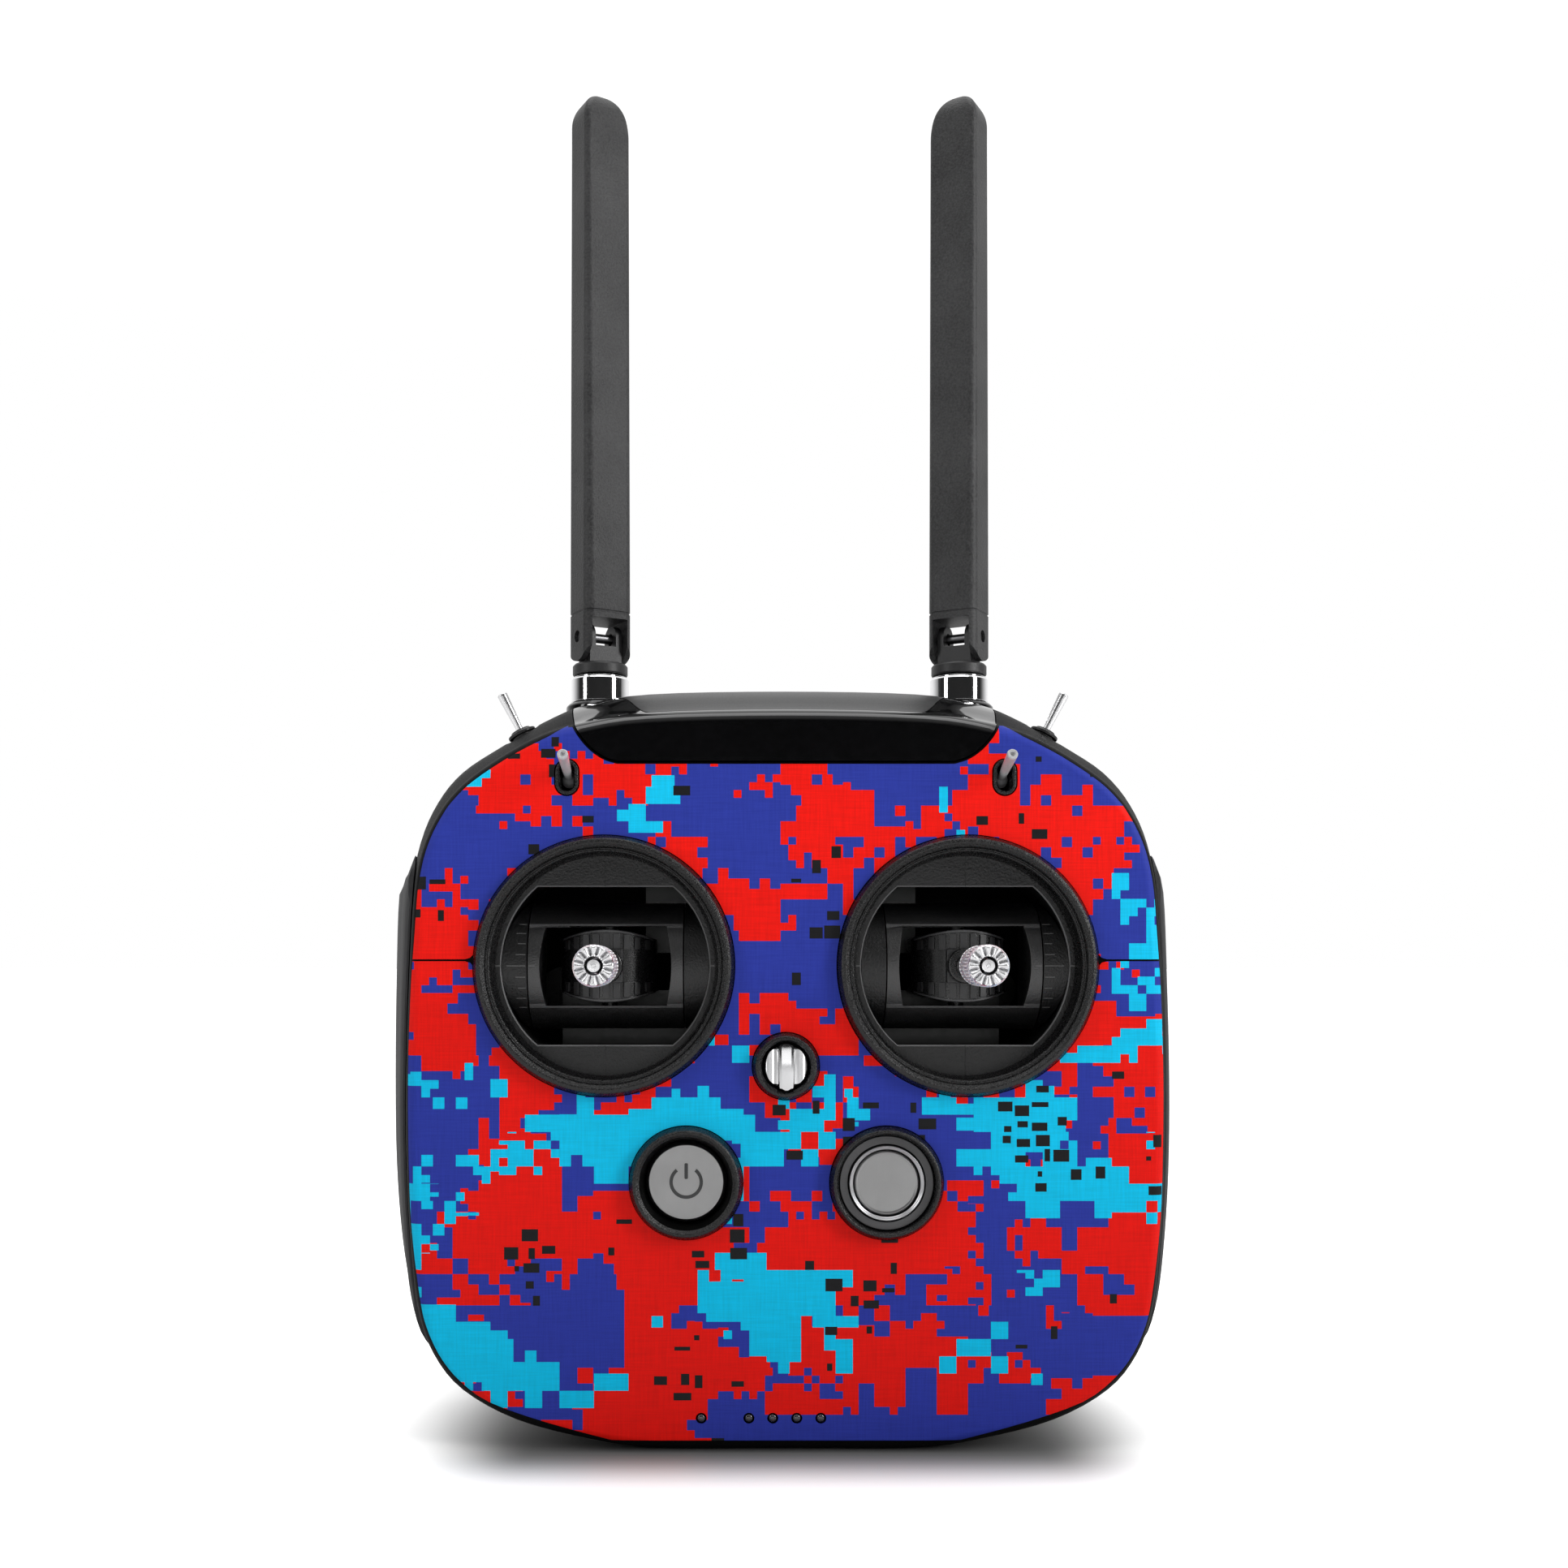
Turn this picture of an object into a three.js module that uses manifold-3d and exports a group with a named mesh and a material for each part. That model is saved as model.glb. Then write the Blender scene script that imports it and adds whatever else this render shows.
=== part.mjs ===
// Radio transmitter controller, standing upright on its flat base.
// Frame: millimetres, +Z up, -Y is the front face with the sticks, origin at the centre of the base.
import * as THREE from 'three';
import { mergeVertices } from 'three/addons/utils/BufferGeometryUtils.js';
import Module from 'manifold-3d';

const wasm = await Module();
wasm.setup();
const { Manifold, Mesh: SolidMesh } = wasm;

// ---------- driving dimensions ----------
const GAP = 0.3;            // clearance between neighbouring pieces
const WALL = 2.3;           // casing wall
const FACE_Y = -30.6;       // front face of the front casing
const SKIN_BACK = -30.9, SKIN_FRONT = -31.4;
const SPLIT_Y = 2;          // joint between the two casings
const BACK_Y = 30;          // back face of the rear casing
const GIMBAL_X = 44.3, GIMBAL_Z = 118.5, PIVOT_Y = -11;
const YOKE_R = 16, YOKE_IN = 14.2, YOKE_HALF = 19.1;
const STICK_TIP_Y = -62;
const MODE_Z = 94.1;
const POWER_X = -24.3, HOME_X = 24.5, BUTTON_Z = 65.7;
const LED_X = [-20.6, -9.0, -3.2, 2.65, 8.5], LED_Z = 8.4;
const TOGGLE_X = 53.3, TOGGLE_Z = 164.4, TOGGLE_PIVOT_Y = -24.6, TOGGLE_TILT = 14;
const SHOULDER = [66.4, -12, 177.2], SHOULDER_LEAN = 27;
const ANT_X = 48.8, ANT_Y = 14, ANT_TURN = 30, FOLD_Z = 207.5, ANT_TOP = 355;
const ANT_W = 13.8, ANT_T = 12.4;

// half outlines, from the top centre round to the base centre: [x, z]
const FRONT = [[0, 181.6], [34, 180.8], [50, 178.4], [60, 175.4], [70, 170.0], [79.2, 163.4], [85.2, 156.2], [89.4, 147.0], [91.4, 136.5],
  [92.6, 116.5], [93.4, 90], [93.2, 66.9], [92.0, 46.8], [90.3, 33.5], [86.6, 23.0], [79.4, 14.2], [66, 6.8], [48, 2.1], [32, 0], [0, 0]];
const MID = [[0, 189.5], [34, 188.8], [50, 186.2], [61, 181.6], [72, 175.2], [82.2, 168.5], [88.6, 160.7], [93.0, 150.6], [95.2, 137.0],
  [95.9, 116.5], [96.2, 90], [95.9, 66.9], [94.4, 46.8], [91.9, 33.0], [87.4, 22.4], [79.6, 14.0], [66, 6.8], [48, 2.1], [32, 0], [0, 0]];
// edge of the vinyl skin
const SKIN = [[57.0, 174.9], [69.0, 168.5], [77.5, 162.5], [83.1, 156.2], [87.6, 147.0], [89.8, 136.4],
  [91.3, 116.5], [92.2, 90], [91.9, 66.9], [90.5, 47.1], [88.6, 34.0], [84.6, 24.0], [77.4, 15.6], [64, 9.1], [42.5, 3.0]];
// lower edge and ends of the top cover
const COVER = [[41, 168.4], [44.3, 169.5], [47.6, 171.9], [50.3, 175.2], [52, 178.6], [53.5, 184], [54, 200]];

// ---------- solids ----------
const rad = (d) => (d * Math.PI) / 180;
const lerp = (a, b, t) => a + (b - a) * t;
const smooth = (a, b, x) => { const t = Math.min(1, Math.max(0, (x - a) / (b - a))); return t * t * (3 - 2 * t); };

function toSolid(geometry) {
  let g = geometry.clone();
  g.deleteAttribute('normal');
  g.deleteAttribute('uv');
  g = mergeVertices(g, 1e-4);
  const pos = g.getAttribute('position').array;
  const src = g.index.array;
  const tris = [];
  for (let i = 0; i < src.length; i += 3) {
    const [a, b, c] = [src[i], src[i + 1], src[i + 2]];
    if (a !== b && b !== c && a !== c) tris.push(a, b, c);
  }
  let volume = 0;
  for (let i = 0; i < tris.length; i += 3) {
    const [a, b, c] = [tris[i] * 3, tris[i + 1] * 3, tris[i + 2] * 3];
    volume += pos[a] * (pos[b + 1] * pos[c + 2] - pos[b + 2] * pos[c + 1])
      - pos[a + 1] * (pos[b] * pos[c + 2] - pos[b + 2] * pos[c])
      + pos[a + 2] * (pos[b] * pos[c + 1] - pos[b + 1] * pos[c]);
  }
  if (volume < 0) for (let i = 0; i < tris.length; i += 3) [tris[i + 1], tris[i + 2]] = [tris[i + 2], tris[i + 1]];
  return new Manifold(new SolidMesh({ numProp: 3, vertProperties: new Float32Array(pos), triVerts: new Uint32Array(tris) }));
}

function fromSolid(solid) {
  const m = solid.getMesh();
  const g = new THREE.BufferGeometry();
  g.setAttribute('position', new THREE.BufferAttribute(new Float32Array(m.vertProperties), 3));
  g.setIndex(new THREE.BufferAttribute(new Uint32Array(m.triVerts), 1));
  g.computeVertexNormals();
  return g;
}

const placed = (geometry, matrix) => toSolid(geometry.clone().applyMatrix4(matrix));
const move = (x, y, z) => new THREE.Matrix4().makeTranslation(x, y, z);

function box(x0, x1, y0, y1, z0, z1) {
  return placed(new THREE.BoxGeometry(x1 - x0, y1 - y0, z1 - z0), move((x0 + x1) / 2, (y0 + y1) / 2, (z0 + z1) / 2));
}
function cylY(x, z, r, y0, y1, seg = 24) {
  return placed(new THREE.CylinderGeometry(r, r, y1 - y0, seg), move(x, (y0 + y1) / 2, z));
}
function cylX(y, z, r, x0, x1, seg = 24) {
  return placed(new THREE.CylinderGeometry(r, r, x1 - x0, seg), move((x0 + x1) / 2, y, z).multiply(new THREE.Matrix4().makeRotationZ(Math.PI / 2)));
}
function cylZ(x, y, r, z0, z1, seg = 24) {
  return placed(new THREE.CylinderGeometry(r, r, z1 - z0, seg), move(x, y, (z0 + z1) / 2).multiply(new THREE.Matrix4().makeRotationX(Math.PI / 2)));
}
// turned piece about a line parallel to Y; profile [radius, y]
function turnY(profile, x, z, seg = 24) {
  return placed(new THREE.LatheGeometry(profile.map(([r, y]) => new THREE.Vector2(r, y)), seg), move(x, 0, z));
}
// turned piece about Z; profile [radius, z]
function turnZ(profile, x, y, seg = 24) {
  return placed(new THREE.LatheGeometry(profile.map(([r, z]) => new THREE.Vector2(r, z)), seg),
    move(x, y, 0).multiply(new THREE.Matrix4().makeRotationX(Math.PI / 2)));
}
// prism of an XZ outline between two Y planes
function prismY(outline, y0, y1) {
  const shape = new THREE.Shape(outline.map(([x, z]) => new THREE.Vector2(x, z)));
  const g = new THREE.ExtrudeGeometry(shape, { depth: y1 - y0, bevelEnabled: false, curveSegments: 8 });
  return placed(g, move(0, y1, 0).multiply(new THREE.Matrix4().makeRotationX(Math.PI / 2)));
}
// prism of a YZ outline between two X planes
function prismX(outline, x0, x1) {
  const shape = new THREE.Shape(outline.map(([y, z]) => new THREE.Vector2(y, z)));
  const g = new THREE.ExtrudeGeometry(shape, { depth: x1 - x0, bevelEnabled: false });
  const m = new THREE.Matrix4().makeBasis(new THREE.Vector3(0, 1, 0), new THREE.Vector3(0, 0, 1), new THREE.Vector3(1, 0, 0));
  return placed(g, move(x0, 0, 0).multiply(m));
}
function obround(x, z, w, h, y0, y1, seg = 5) {
  const r = w / 2, s = h / 2 - r, pts = [];
  for (let i = 0; i <= seg; i++) pts.push([x + r * Math.cos((Math.PI * i) / seg), z + s + r * Math.sin((Math.PI * i) / seg)]);
  for (let i = 0; i <= seg; i++) pts.push([x - r * Math.cos((Math.PI * i) / seg), z - s - r * Math.sin((Math.PI * i) / seg)]);
  return prismY(pts, y0, y1);
}

// closed loft through rings of [x, y, z] with flat ends
function loft(rings) {
  const n = rings[0].length, pos = [], idx = [];
  for (const ring of rings) for (const p of ring) pos.push(...p);
  for (let k = 0; k + 1 < rings.length; k++)
    for (let i = 0; i < n; i++) {
      const a = k * n + i, b = k * n + ((i + 1) % n), c = a + n, d = b + n;
      idx.push(a, b, d, a, d, c);
    }
  const cap = (k, up) => {
    const flat = rings[k].map((p) => new THREE.Vector2(p[0], p[2]));
    for (const [a, b, c] of THREE.ShapeUtils.triangulateShape(flat, [])) {
      const s = (flat[b].x - flat[a].x) * (flat[c].y - flat[a].y) - (flat[b].y - flat[a].y) * (flat[c].x - flat[a].x);
      const o = k * n;
      if ((s > 0) === up) idx.push(o + a, o + b, o + c); else idx.push(o + a, o + c, o + b);
    }
  };
  let area = 0;
  for (let i = 0; i < n; i++) {
    const p = rings[0][i], q = rings[0][(i + 1) % n];
    area += p[0] * q[2] - q[0] * p[2];
  }
  // side faces wind with the ring, so the end at the first ring winds against it
  cap(0, area < 0);
  cap(rings.length - 1, area > 0);
  const g = new THREE.BufferGeometry();
  g.setAttribute('position', new THREE.Float32BufferAttribute(pos, 3));
  g.setIndex(idx);
  return toSolid(g);
}

// full outline ring: half outline mirrored; points [x, z]
const mirrored = (half) => [...half, ...half.slice(half[0][0] === 0 ? 1 : 0, half[half.length - 1][0] === 0 ? -1 : undefined).reverse().map(([x, z]) => [-x, z])];
function offset(ring, d) {
  const n = ring.length;
  return ring.map(([x, z], i) => {
    const a = ring[(i + n - 1) % n], b = ring[(i + 1) % n];
    const tx = b[0] - a[0], tz = b[1] - a[1], l = Math.hypot(tx, tz);
    const o = typeof d === 'function' ? d(x, z) : d;
    return [x - (tz / l) * o, z + (tx / l) * o];
  });
}
function refine(half, k) {
  const out = [];
  for (let i = 0; i + 1 < half.length; i++) {
    const p0 = half[Math.max(0, i - 1)], p1 = half[i], p2 = half[i + 1], p3 = half[Math.min(half.length - 1, i + 2)];
    for (let j = 0; j < k; j++) {
      const t = j / k;
      out.push([0, 1].map((c) => 0.5 * (2 * p1[c] + (p2[c] - p0[c]) * t + (2 * p0[c] - 5 * p1[c] + 4 * p2[c] - p3[c]) * t * t + (3 * p1[c] - p0[c] - 3 * p2[c] + p3[c]) * t * t * t)));
    }
  }
  out.push(half[half.length - 1]);
  return out;
}
const blendHalf = (w) => FRONT.map((p, i) => [lerp(p[0], MID[i][0], w), lerp(p[1], MID[i][1], w)]);
// the ring of the casing at depth y: w blends front to mid outline, sx/zb/drop shape the rounded back
const REAR = [[0, 1, 0, 0], [9, 1, 0, 0], [19, 0.957, 0, 2.6], [25, 0.895, 1.4, 8], [28.8, 0.82, 6.5, 16], [BACK_Y, 0.74, 12, 25]];
const FRONT_W = [[-26, 0], [-17, 0.65], [-6, 1], [0, 1]];
const rearAt = (y) => {
  for (let i = 0; i + 1 < REAR.length; i++) if (y <= REAR[i + 1][0]) {
    const a = REAR[i], b = REAR[i + 1], t = Math.max(0, (y - a[0]) / (b[0] - a[0]));
    return [lerp(a[1], b[1], t), lerp(a[2], b[2], t), lerp(a[3], b[3], t)];
  }
  return REAR[REAR.length - 1].slice(1);
};
const frontW = (y) => {
  if (y <= FRONT_W[0][0]) return 0;
  for (let i = 0; i + 1 < FRONT_W.length; i++) if (y <= FRONT_W[i + 1][0]) return lerp(FRONT_W[i][1], FRONT_W[i + 1][1], (y - FRONT_W[i][0]) / (FRONT_W[i + 1][0] - FRONT_W[i][0]));
  return 1;
};
function section(y, d = 0, k = 1) {
  let half = blendHalf(frontW(y));
  if (k > 1) half = refine(half, k);
  let ring = mirrored(half);
  if (y > 0) {
    const [sx, zb, drop] = rearAt(y);
    ring = ring.map(([x, z]) => [x * sx, zb + (z * (189.5 - drop - zb)) / 189.5]);
  }
  if (d) ring = offset(ring, d);
  return ring;
}
const at = (ring, y) => ring.map(([x, z]) => [x, y, z]);

const FRONT_EDGE = [[FACE_Y, -3.6], [-30.1, -2.1], [-28.6, -0.7], [-26, 0]];
const OUT = (() => offset(mirrored(FRONT), 1)[10][0] > FRONT[10][0] ? 1 : -1)(); // sign of an outward offset
const sec = (y, d = 0, k = 1) => section(y, typeof d === 'function' ? (x, z) => OUT * d(x, z) : OUT * d, k);
const frontRings = (dy = 0) => [...FRONT_EDGE.map(([y, d]) => at(sec(-26, d), y + dy)), ...[-17, -6].map((y) => at(sec(y), y))];
const rearRings = REAR.slice(1).map(([y]) => at(sec(y), y));

const bodyFull = loft([...frontRings(), at(sec(0), 0), ...rearRings]);
const bodyForward = loft([...frontRings(-1.0), at(sec(0), 0), ...rearRings]);
const cavityFront = [[-28.2, -5.2, -26], [-26, -2.6, -26], [-17, -WALL, -17], [-6, -WALL, -6]];
const cavityRear = [[9, 9], [18, 19], [23.4, 25], [26.8, 28.8], [27.8, 30]];
const cavity = loft([...cavityFront.map(([y, d, s]) => at(sec(s, d), y)), at(sec(0, -WALL), 0), ...cavityRear.map(([y, s]) => at(sec(s, -WALL), y))]);

// ---------- openings ----------
const coverHalf = [[0, 168.4], ...COVER];
const ringXZ = (half, grow) => {
  const ring = [...half, ...half.slice(1).reverse().map(([x, z]) => [-x, z])];
  const g = offset(ring, grow);
  return g[1][0] > ring[1][0] ? g : offset(ring, -grow);
};
const coverPrism = prismY(ringXZ(coverHalf, 0.001), -40, 21.7);
const coverCut = prismY(ringXZ(coverHalf, 0.3), -40, 22);
const bosses = [-1, 1].map((s) => turnZ([[0, 178.2], [9.2, 178.2], [9.2, 187.6], [8.0, 189.4], [0, 189.4]], s * ANT_X, ANT_Y, 16));
const bossCuts = [-1, 1].map((s) => cylZ(s * ANT_X, ANT_Y, 9.6, 177.9, 205, 16));
const cutAll = (solid, cuts) => cuts.reduce((a, c) => a.subtract(c), solid);

const sides = [-1, 1];
const buttonAxis = new THREE.Vector3(0.72, 0, 0.69).normalize();
const shoulderButton = (s, r, from, to, y, seg = 14) => {
  const dir = new THREE.Vector3(s * buttonAxis.x, 0, buttonAxis.z);
  const c = new THREE.Vector3(s * 84.2, y, 165.9).addScaledVector(dir, (from + to) / 2);
  return placed(new THREE.CylinderGeometry(r, r, to - from, seg), new THREE.Matrix4().compose(c, new THREE.Quaternion().setFromUnitVectors(new THREE.Vector3(0, 1, 0), dir), new THREE.Vector3(1, 1, 1)));
};
const DIAL = [65.7, 12.2, 168.4];
const leverFrame = (x, y, z, dir) => new THREE.Matrix4().compose(new THREE.Vector3(x, y, z),
  new THREE.Quaternion().setFromUnitVectors(new THREE.Vector3(0, 1, 0), dir), new THREE.Vector3(1, 1, 1));
const shoulderDir = (s) => new THREE.Vector3(s * Math.sin(rad(SHOULDER_LEAN)), 0, Math.cos(rad(SHOULDER_LEAN)));
const along = (profile, frame, seg) => placed(new THREE.LatheGeometry(profile.map(([r, y]) => new THREE.Vector2(r, y)), seg), frame);

// ---------- casings ----------
const lobes = sides.map((s) => placed(new THREE.SphereGeometry(1, 12, 8), new THREE.Matrix4().compose(new THREE.Vector3(s * 60, 13, 78), new THREE.Quaternion(), new THREE.Vector3(24, 27, 60))));
const lobeHollows = sides.map((s) => placed(new THREE.SphereGeometry(1, 12, 8), new THREE.Matrix4().compose(new THREE.Vector3(s * 60, 13, 78), new THREE.Quaternion(), new THREE.Vector3(20.6, 23.6, 56.0))));

let frontShell = bodyFull.subtract(cavity).intersect(box(-120, 120, -40, SPLIT_Y, -5, 200));
frontShell = cutAll(frontShell, [
  coverCut, ...bossCuts,
  ...sides.map((s) => cylY(s * GIMBAL_X, GIMBAL_Z, 28.9, -36, -20, 22)),
  cylY(0, MODE_Z, 5.75, -36, -20, 16),
  cylY(POWER_X, BUTTON_Z, 11.65, -36, -20, 16),
  cylY(HOME_X, BUTTON_Z, 9.6, -36, -20, 16),
  ...LED_X.map((x) => cylY(x, LED_Z, 1.4, -36, -20, 6)),
  ...sides.map((s) => obround(s * TOGGLE_X, TOGGLE_Z, 6.3, 9.3, -36, -20)),
  ...sides.map((s) => along([[0, -9], [3.2, -9], [3.2, -0.9], [4.9, -0.9], [4.9, 8], [0, 8]], leverFrame(s * SHOULDER[0], SHOULDER[1], SHOULDER[2], shoulderDir(s)), 12)),
]);
let rearShell = bodyFull.intersect(box(-120, 120, SPLIT_Y + GAP, 40, -5, 200)).add(lobes[0].intersect(box(-120, 0, 14, 60, 0, 200))).add(lobes[1].intersect(box(0, 120, 14, 60, 0, 200)));
rearShell = cutAll(rearShell.subtract(cavity).subtract(lobeHollows[0]).subtract(lobeHollows[1]), [
  coverCut, ...bossCuts,
  ...sides.map((s) => shoulderButton(s, 5.45, -8, 6, 9)),
  ...sides.map((s) => cylY(s * DIAL[0], DIAL[2], 11.2, DIAL[1] - 4.1, DIAL[1] + 4.1, 20)),
  box(-24.3, 24.3, 24, 34, 49.7, 66.3),
  ...sides.map((s) => cylY(s * 60, 112, 5.4, 20, 50, 14)),
]);
let topCover = bodyForward.add(bodyFull).intersect(coverPrism).subtract(cavity);
topCover = topCover.add(bosses[0]).add(bosses[1]);

// skin: a thin sheet that follows the front face and its rounded edge
const skinOutline = [...SKIN, ...SKIN.slice().reverse().map(([x, z]) => [-x, z]), [-53.4, 177.3], [53.4, 177.3]];
let skin = bodyFull.translate([0, -0.8, 0]).subtract(bodyFull.translate([0, -0.3, 0])).intersect(prismY(skinOutline, -40, -27));
skin = cutAll(skin, [
  prismY(ringXZ(coverHalf, 0.7), -40, 0),
  ...sides.map((s) => cylY(s * GIMBAL_X, GIMBAL_Z, 32.35, -36, -20, 22)),
  cylY(0, MODE_Z, 8.6, -36, -20, 12),
  cylY(POWER_X, BUTTON_Z, 14.4, -36, -20, 16),
  cylY(HOME_X, BUTTON_Z, 14.4, -36, -20, 16),
  ...LED_X.map((x) => cylY(x, LED_Z, 1.5, -36, -20, 6)),
  ...sides.map((s) => obround(s * TOGGLE_X, TOGGLE_Z, 6.4, 9.4, -36, -20)),
  ...sides.map((s) => (s < 0 ? box(-99, -74, -40, -20, 119.6, 120.2) : box(74, 99, -40, -20, 119.6, 120.2))),
]);

// side grips: rubber pads that stand proud of the casing, tapered at both ends
const taper = (z) => smooth(16, 30, z) * (1 - smooth(138, 147.5, z));
const gripY = [[-24.4, 0.4], [-21.5, 1.5], [-12, 2.0], [-6, 3.4], [0, 4.9], [5, 6.1], [8, 6.8], [11, 6.6], [14, 5.4], [17, 3.0], [19.8, 0.4]];
const gripOuter = loft(gripY.map(([y, d]) => at(sec(y, (x, z) => 0.45 + (d - 0.2) * taper(z), 2), y)));
const gripInner = loft([...FRONT_EDGE.map(([y, d]) => at(sec(-26, d + 0.3), y)), ...[-17, -6, 0].map((y) => at(sec(y, 0.3), y)), ...REAR.slice(1, 4).map(([y]) => at(sec(y, 0.32), y))]);
const gripZone = (s) => prismX([[-24.1, 36], [-20.5, 24], [-14, 20.5], [10, 20], [16, 22.5], [19.4, 28], [19.4, 137], [15, 143.5], [9, 146.5], [-15, 146.5], [-21, 143], [-24.1, 134]], s < 0 ? -112 : 60, s < 0 ? -60 : 112);
const grips = sides.map((s) => gripOuter.subtract(gripInner).intersect(gripZone(s)));

// ---------- gimbals ----------
const gimbals = sides.map((s) => {
  const x = s * GIMBAL_X, z = GIMBAL_Z;
  const bezel = turnY([[28.5, -30.95], [31.8, -30.95], [31.6, -32.8], [30.3, -34], [28.6, -33.6], [27.4, -31.9], [27.0, -27.4], [28.5, -27.4], [28.5, -30.95]], x, z, 22);
  const windowArc = [];
  const half = Math.asin(19.45 / 25.6);
  for (let i = 0; i <= 5; i++) { const a = lerp(-half, half, i / 5); windowArc.push([x + 25.6 * Math.cos(a), z + 25.6 * Math.sin(a)]); }
  for (let i = 0; i <= 5; i++) { const a = lerp(Math.PI - half, Math.PI + half, i / 5); windowArc.push([x + 25.6 * Math.cos(a), z + 25.6 * Math.sin(a)]); }
  let plate = turnY([[0, -27.1], [28.3, -27.1], [28.3, -2], [0, -2]], x, z, 22).subtract(cylY(x, z, 26.2, -24.8, 0, 22)).subtract(prismY(windowArc, -30, -20));
  const lobe = cylX(PIVOT_Y, z, YOKE_R, x - 27.3, x + 27.3, 18).intersect(cylY(x, z, 27.2, -28, -4, 22))
    .subtract(box(x - YOKE_HALF - GAP, x + YOKE_HALF + GAP, -40, 20, z - 30, z + 30))
    .subtract(cylX(PIVOT_Y, z, 2.85, x - 24, x + 24, 10));
  plate = plate.add(lobe);
  const win = prismY([[x - 15, z - 9.9], [x + 15, z - 9.9], [x + 15.9, z - 5], [x + 16.2, z], [x + 15.9, z + 5], [x + 15, z + 9.9], [x - 15, z + 9.9], [x - 15.9, z + 5], [x - 16.2, z], [x - 15.9, z - 5]], -40, PIVOT_Y);
  const yoke = cylX(PIVOT_Y, z, YOKE_R, x - YOKE_HALF, x + YOKE_HALF, 18).subtract(cylX(PIVOT_Y, z, YOKE_IN + 0.1, x - 16.8, x + 16.8, 18))
    .subtract(win).subtract(box(x - 30, x + 30, PIVOT_Y + 5, 20, z - 30, z + 30))
    .add(cylX(PIVOT_Y, z, 2.45, x - 22.6, x - 18, 10)).add(cylX(PIVOT_Y, z, 2.45, x + 18, x + 22.6, 10))
    .subtract(cylZ(x, PIVOT_Y, 2.4, z - 20, z + 20, 10));
  const drum = turnZ([[0, z - 9.2], [9.8, z - 9.2], [12, z - 6.4], [12.6, z], [12, z + 6.4], [9.8, z + 9.2], [0, z + 9.2]], x, PIVOT_Y, 14)
    .subtract(box(x - 20, x + 20, PIVOT_Y + 6, 20, z - 15, z + 15))
    .add(cylZ(x, PIVOT_Y, 2, z - 15.6, z + 15.6, 10))
    .add(box(x - 4.25, x + 4.25, -25.2, -20, z - 4.25, z + 4.25))
    .add(cylY(x, z, 4.3, -28.2, -25, 14))
    .subtract(cylY(x, z, 2.6, -30, -20, 10));
  const shaft = turnY([[0, -20.3], [2.2, -20.3], [2.2, -48.2], [1.65, -48.2], [1.65, -61.5], [0, -61.5]], x, z, 10);
  const nut = turnY([[1.95, -48.6], [4.5, -48.6], [4.8, -49.0], [4.8, -54.8], [4.5, -55.2], [1.95, -55.2], [1.95, -48.6]], x, z, 14);
  const tip = turnY([[1.95, -55.5], [4.5, -55.5], [4.8, -55.9], [4.8, -61.2], [4.3, STICK_TIP_Y], [1.95, STICK_TIP_Y], [1.95, -55.5]], x, z, 14);
  return { bezel, plate, yoke, drum, shaft, nut, tip };
});

// ---------- front controls ----------
const modeBezel = turnY([[5.9, -30.9], [8.1, -30.9], [8.1, -32.8], [7.5, -33.8], [6.6, -34.0], [5.9, -33.4], [5.9, -30.9]], 0, MODE_Z, 18);
const modeKnob = turnY([[0, -33.0], [5.25, -33.0], [5.25, -27.5], [3, -27.5], [3, -20], [0, -20]], 0, MODE_Z, 16)
  .add(prismY(Array.from({ length: 12 }, (_, i) => { const a = (Math.PI * 2 * i) / 12; const cx = Math.sign(Math.round(Math.sin(a) * 100)) * 3.75; return [1.9 * Math.cos(a), MODE_Z + cx + 1.9 * Math.sin(a)]; }), -36.2, -32));
const powerBezel = turnY([[11.2, -30.9], [13.8, -30.9], [13.7, -32.8], [12.4, -34.3], [11.0, -33.4], [10.1, -27.6], [11.2, -27.6], [11.2, -30.9]], POWER_X, BUTTON_Z, 18);
const powerButton = turnY([[0, -30.0], [9.2, -30.0], [9.75, -29.5], [9.75, -26.8], [4, -26.8], [4, -22], [0, -22]], POWER_X, BUTTON_Z, 20);
const homeBezel = turnY([[11.7, -30.9], [13.8, -30.9], [13.7, -32.8], [12.6, -34.1], [11.8, -33.2], [11.7, -30.9]], HOME_X, BUTTON_Z, 20);
const homeCollar = turnY([[9.5, -30.9], [11.4, -30.9], [11.4, -31.7], [9.5, -31.7], [9.5, -30.9]], HOME_X, BUTTON_Z, 20);
const homeRing = turnY([[8.2, -27.6], [9.15, -27.6], [9.15, -32.1], [8.9, -32.5], [8.4, -32.5], [8.2, -32.1], [8.2, -27.6]], HOME_X, BUTTON_Z, 20);
const homeButton = turnY([[0, -31.6], [7.3, -31.6], [7.9, -31.1], [7.9, -27.6], [4, -27.6], [4, -22], [0, -22]], HOME_X, BUTTON_Z, 20);
const leds = LED_X.map((x) => turnY([[0, -31.5], [0.7, -31.4], [1.0, -31.1], [1.0, -27], [0, -27]], x, LED_Z, 6));
const toggleSlots = sides.map((s) => obround(s * TOGGLE_X, TOGGLE_Z, 5.7, 8.7, -31.7, -27.1).subtract(obround(s * TOGGLE_X, TOGGLE_Z, 3.5, 6.9, -33, -26)));
const LEVER = [[0, -1.9], [1.9, -0.6], [1.7, 1.0], [1.0, 2.0], [1.3, 17.2], [1.15, 17.8], [0, 17.7]];
const frontToggles = sides.map((s) => along(LEVER, leverFrame(s * TOGGLE_X, TOGGLE_PIVOT_Y, TOGGLE_Z, new THREE.Vector3(0, -Math.cos(rad(TOGGLE_TILT)), Math.sin(rad(TOGGLE_TILT)))), 10));
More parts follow.
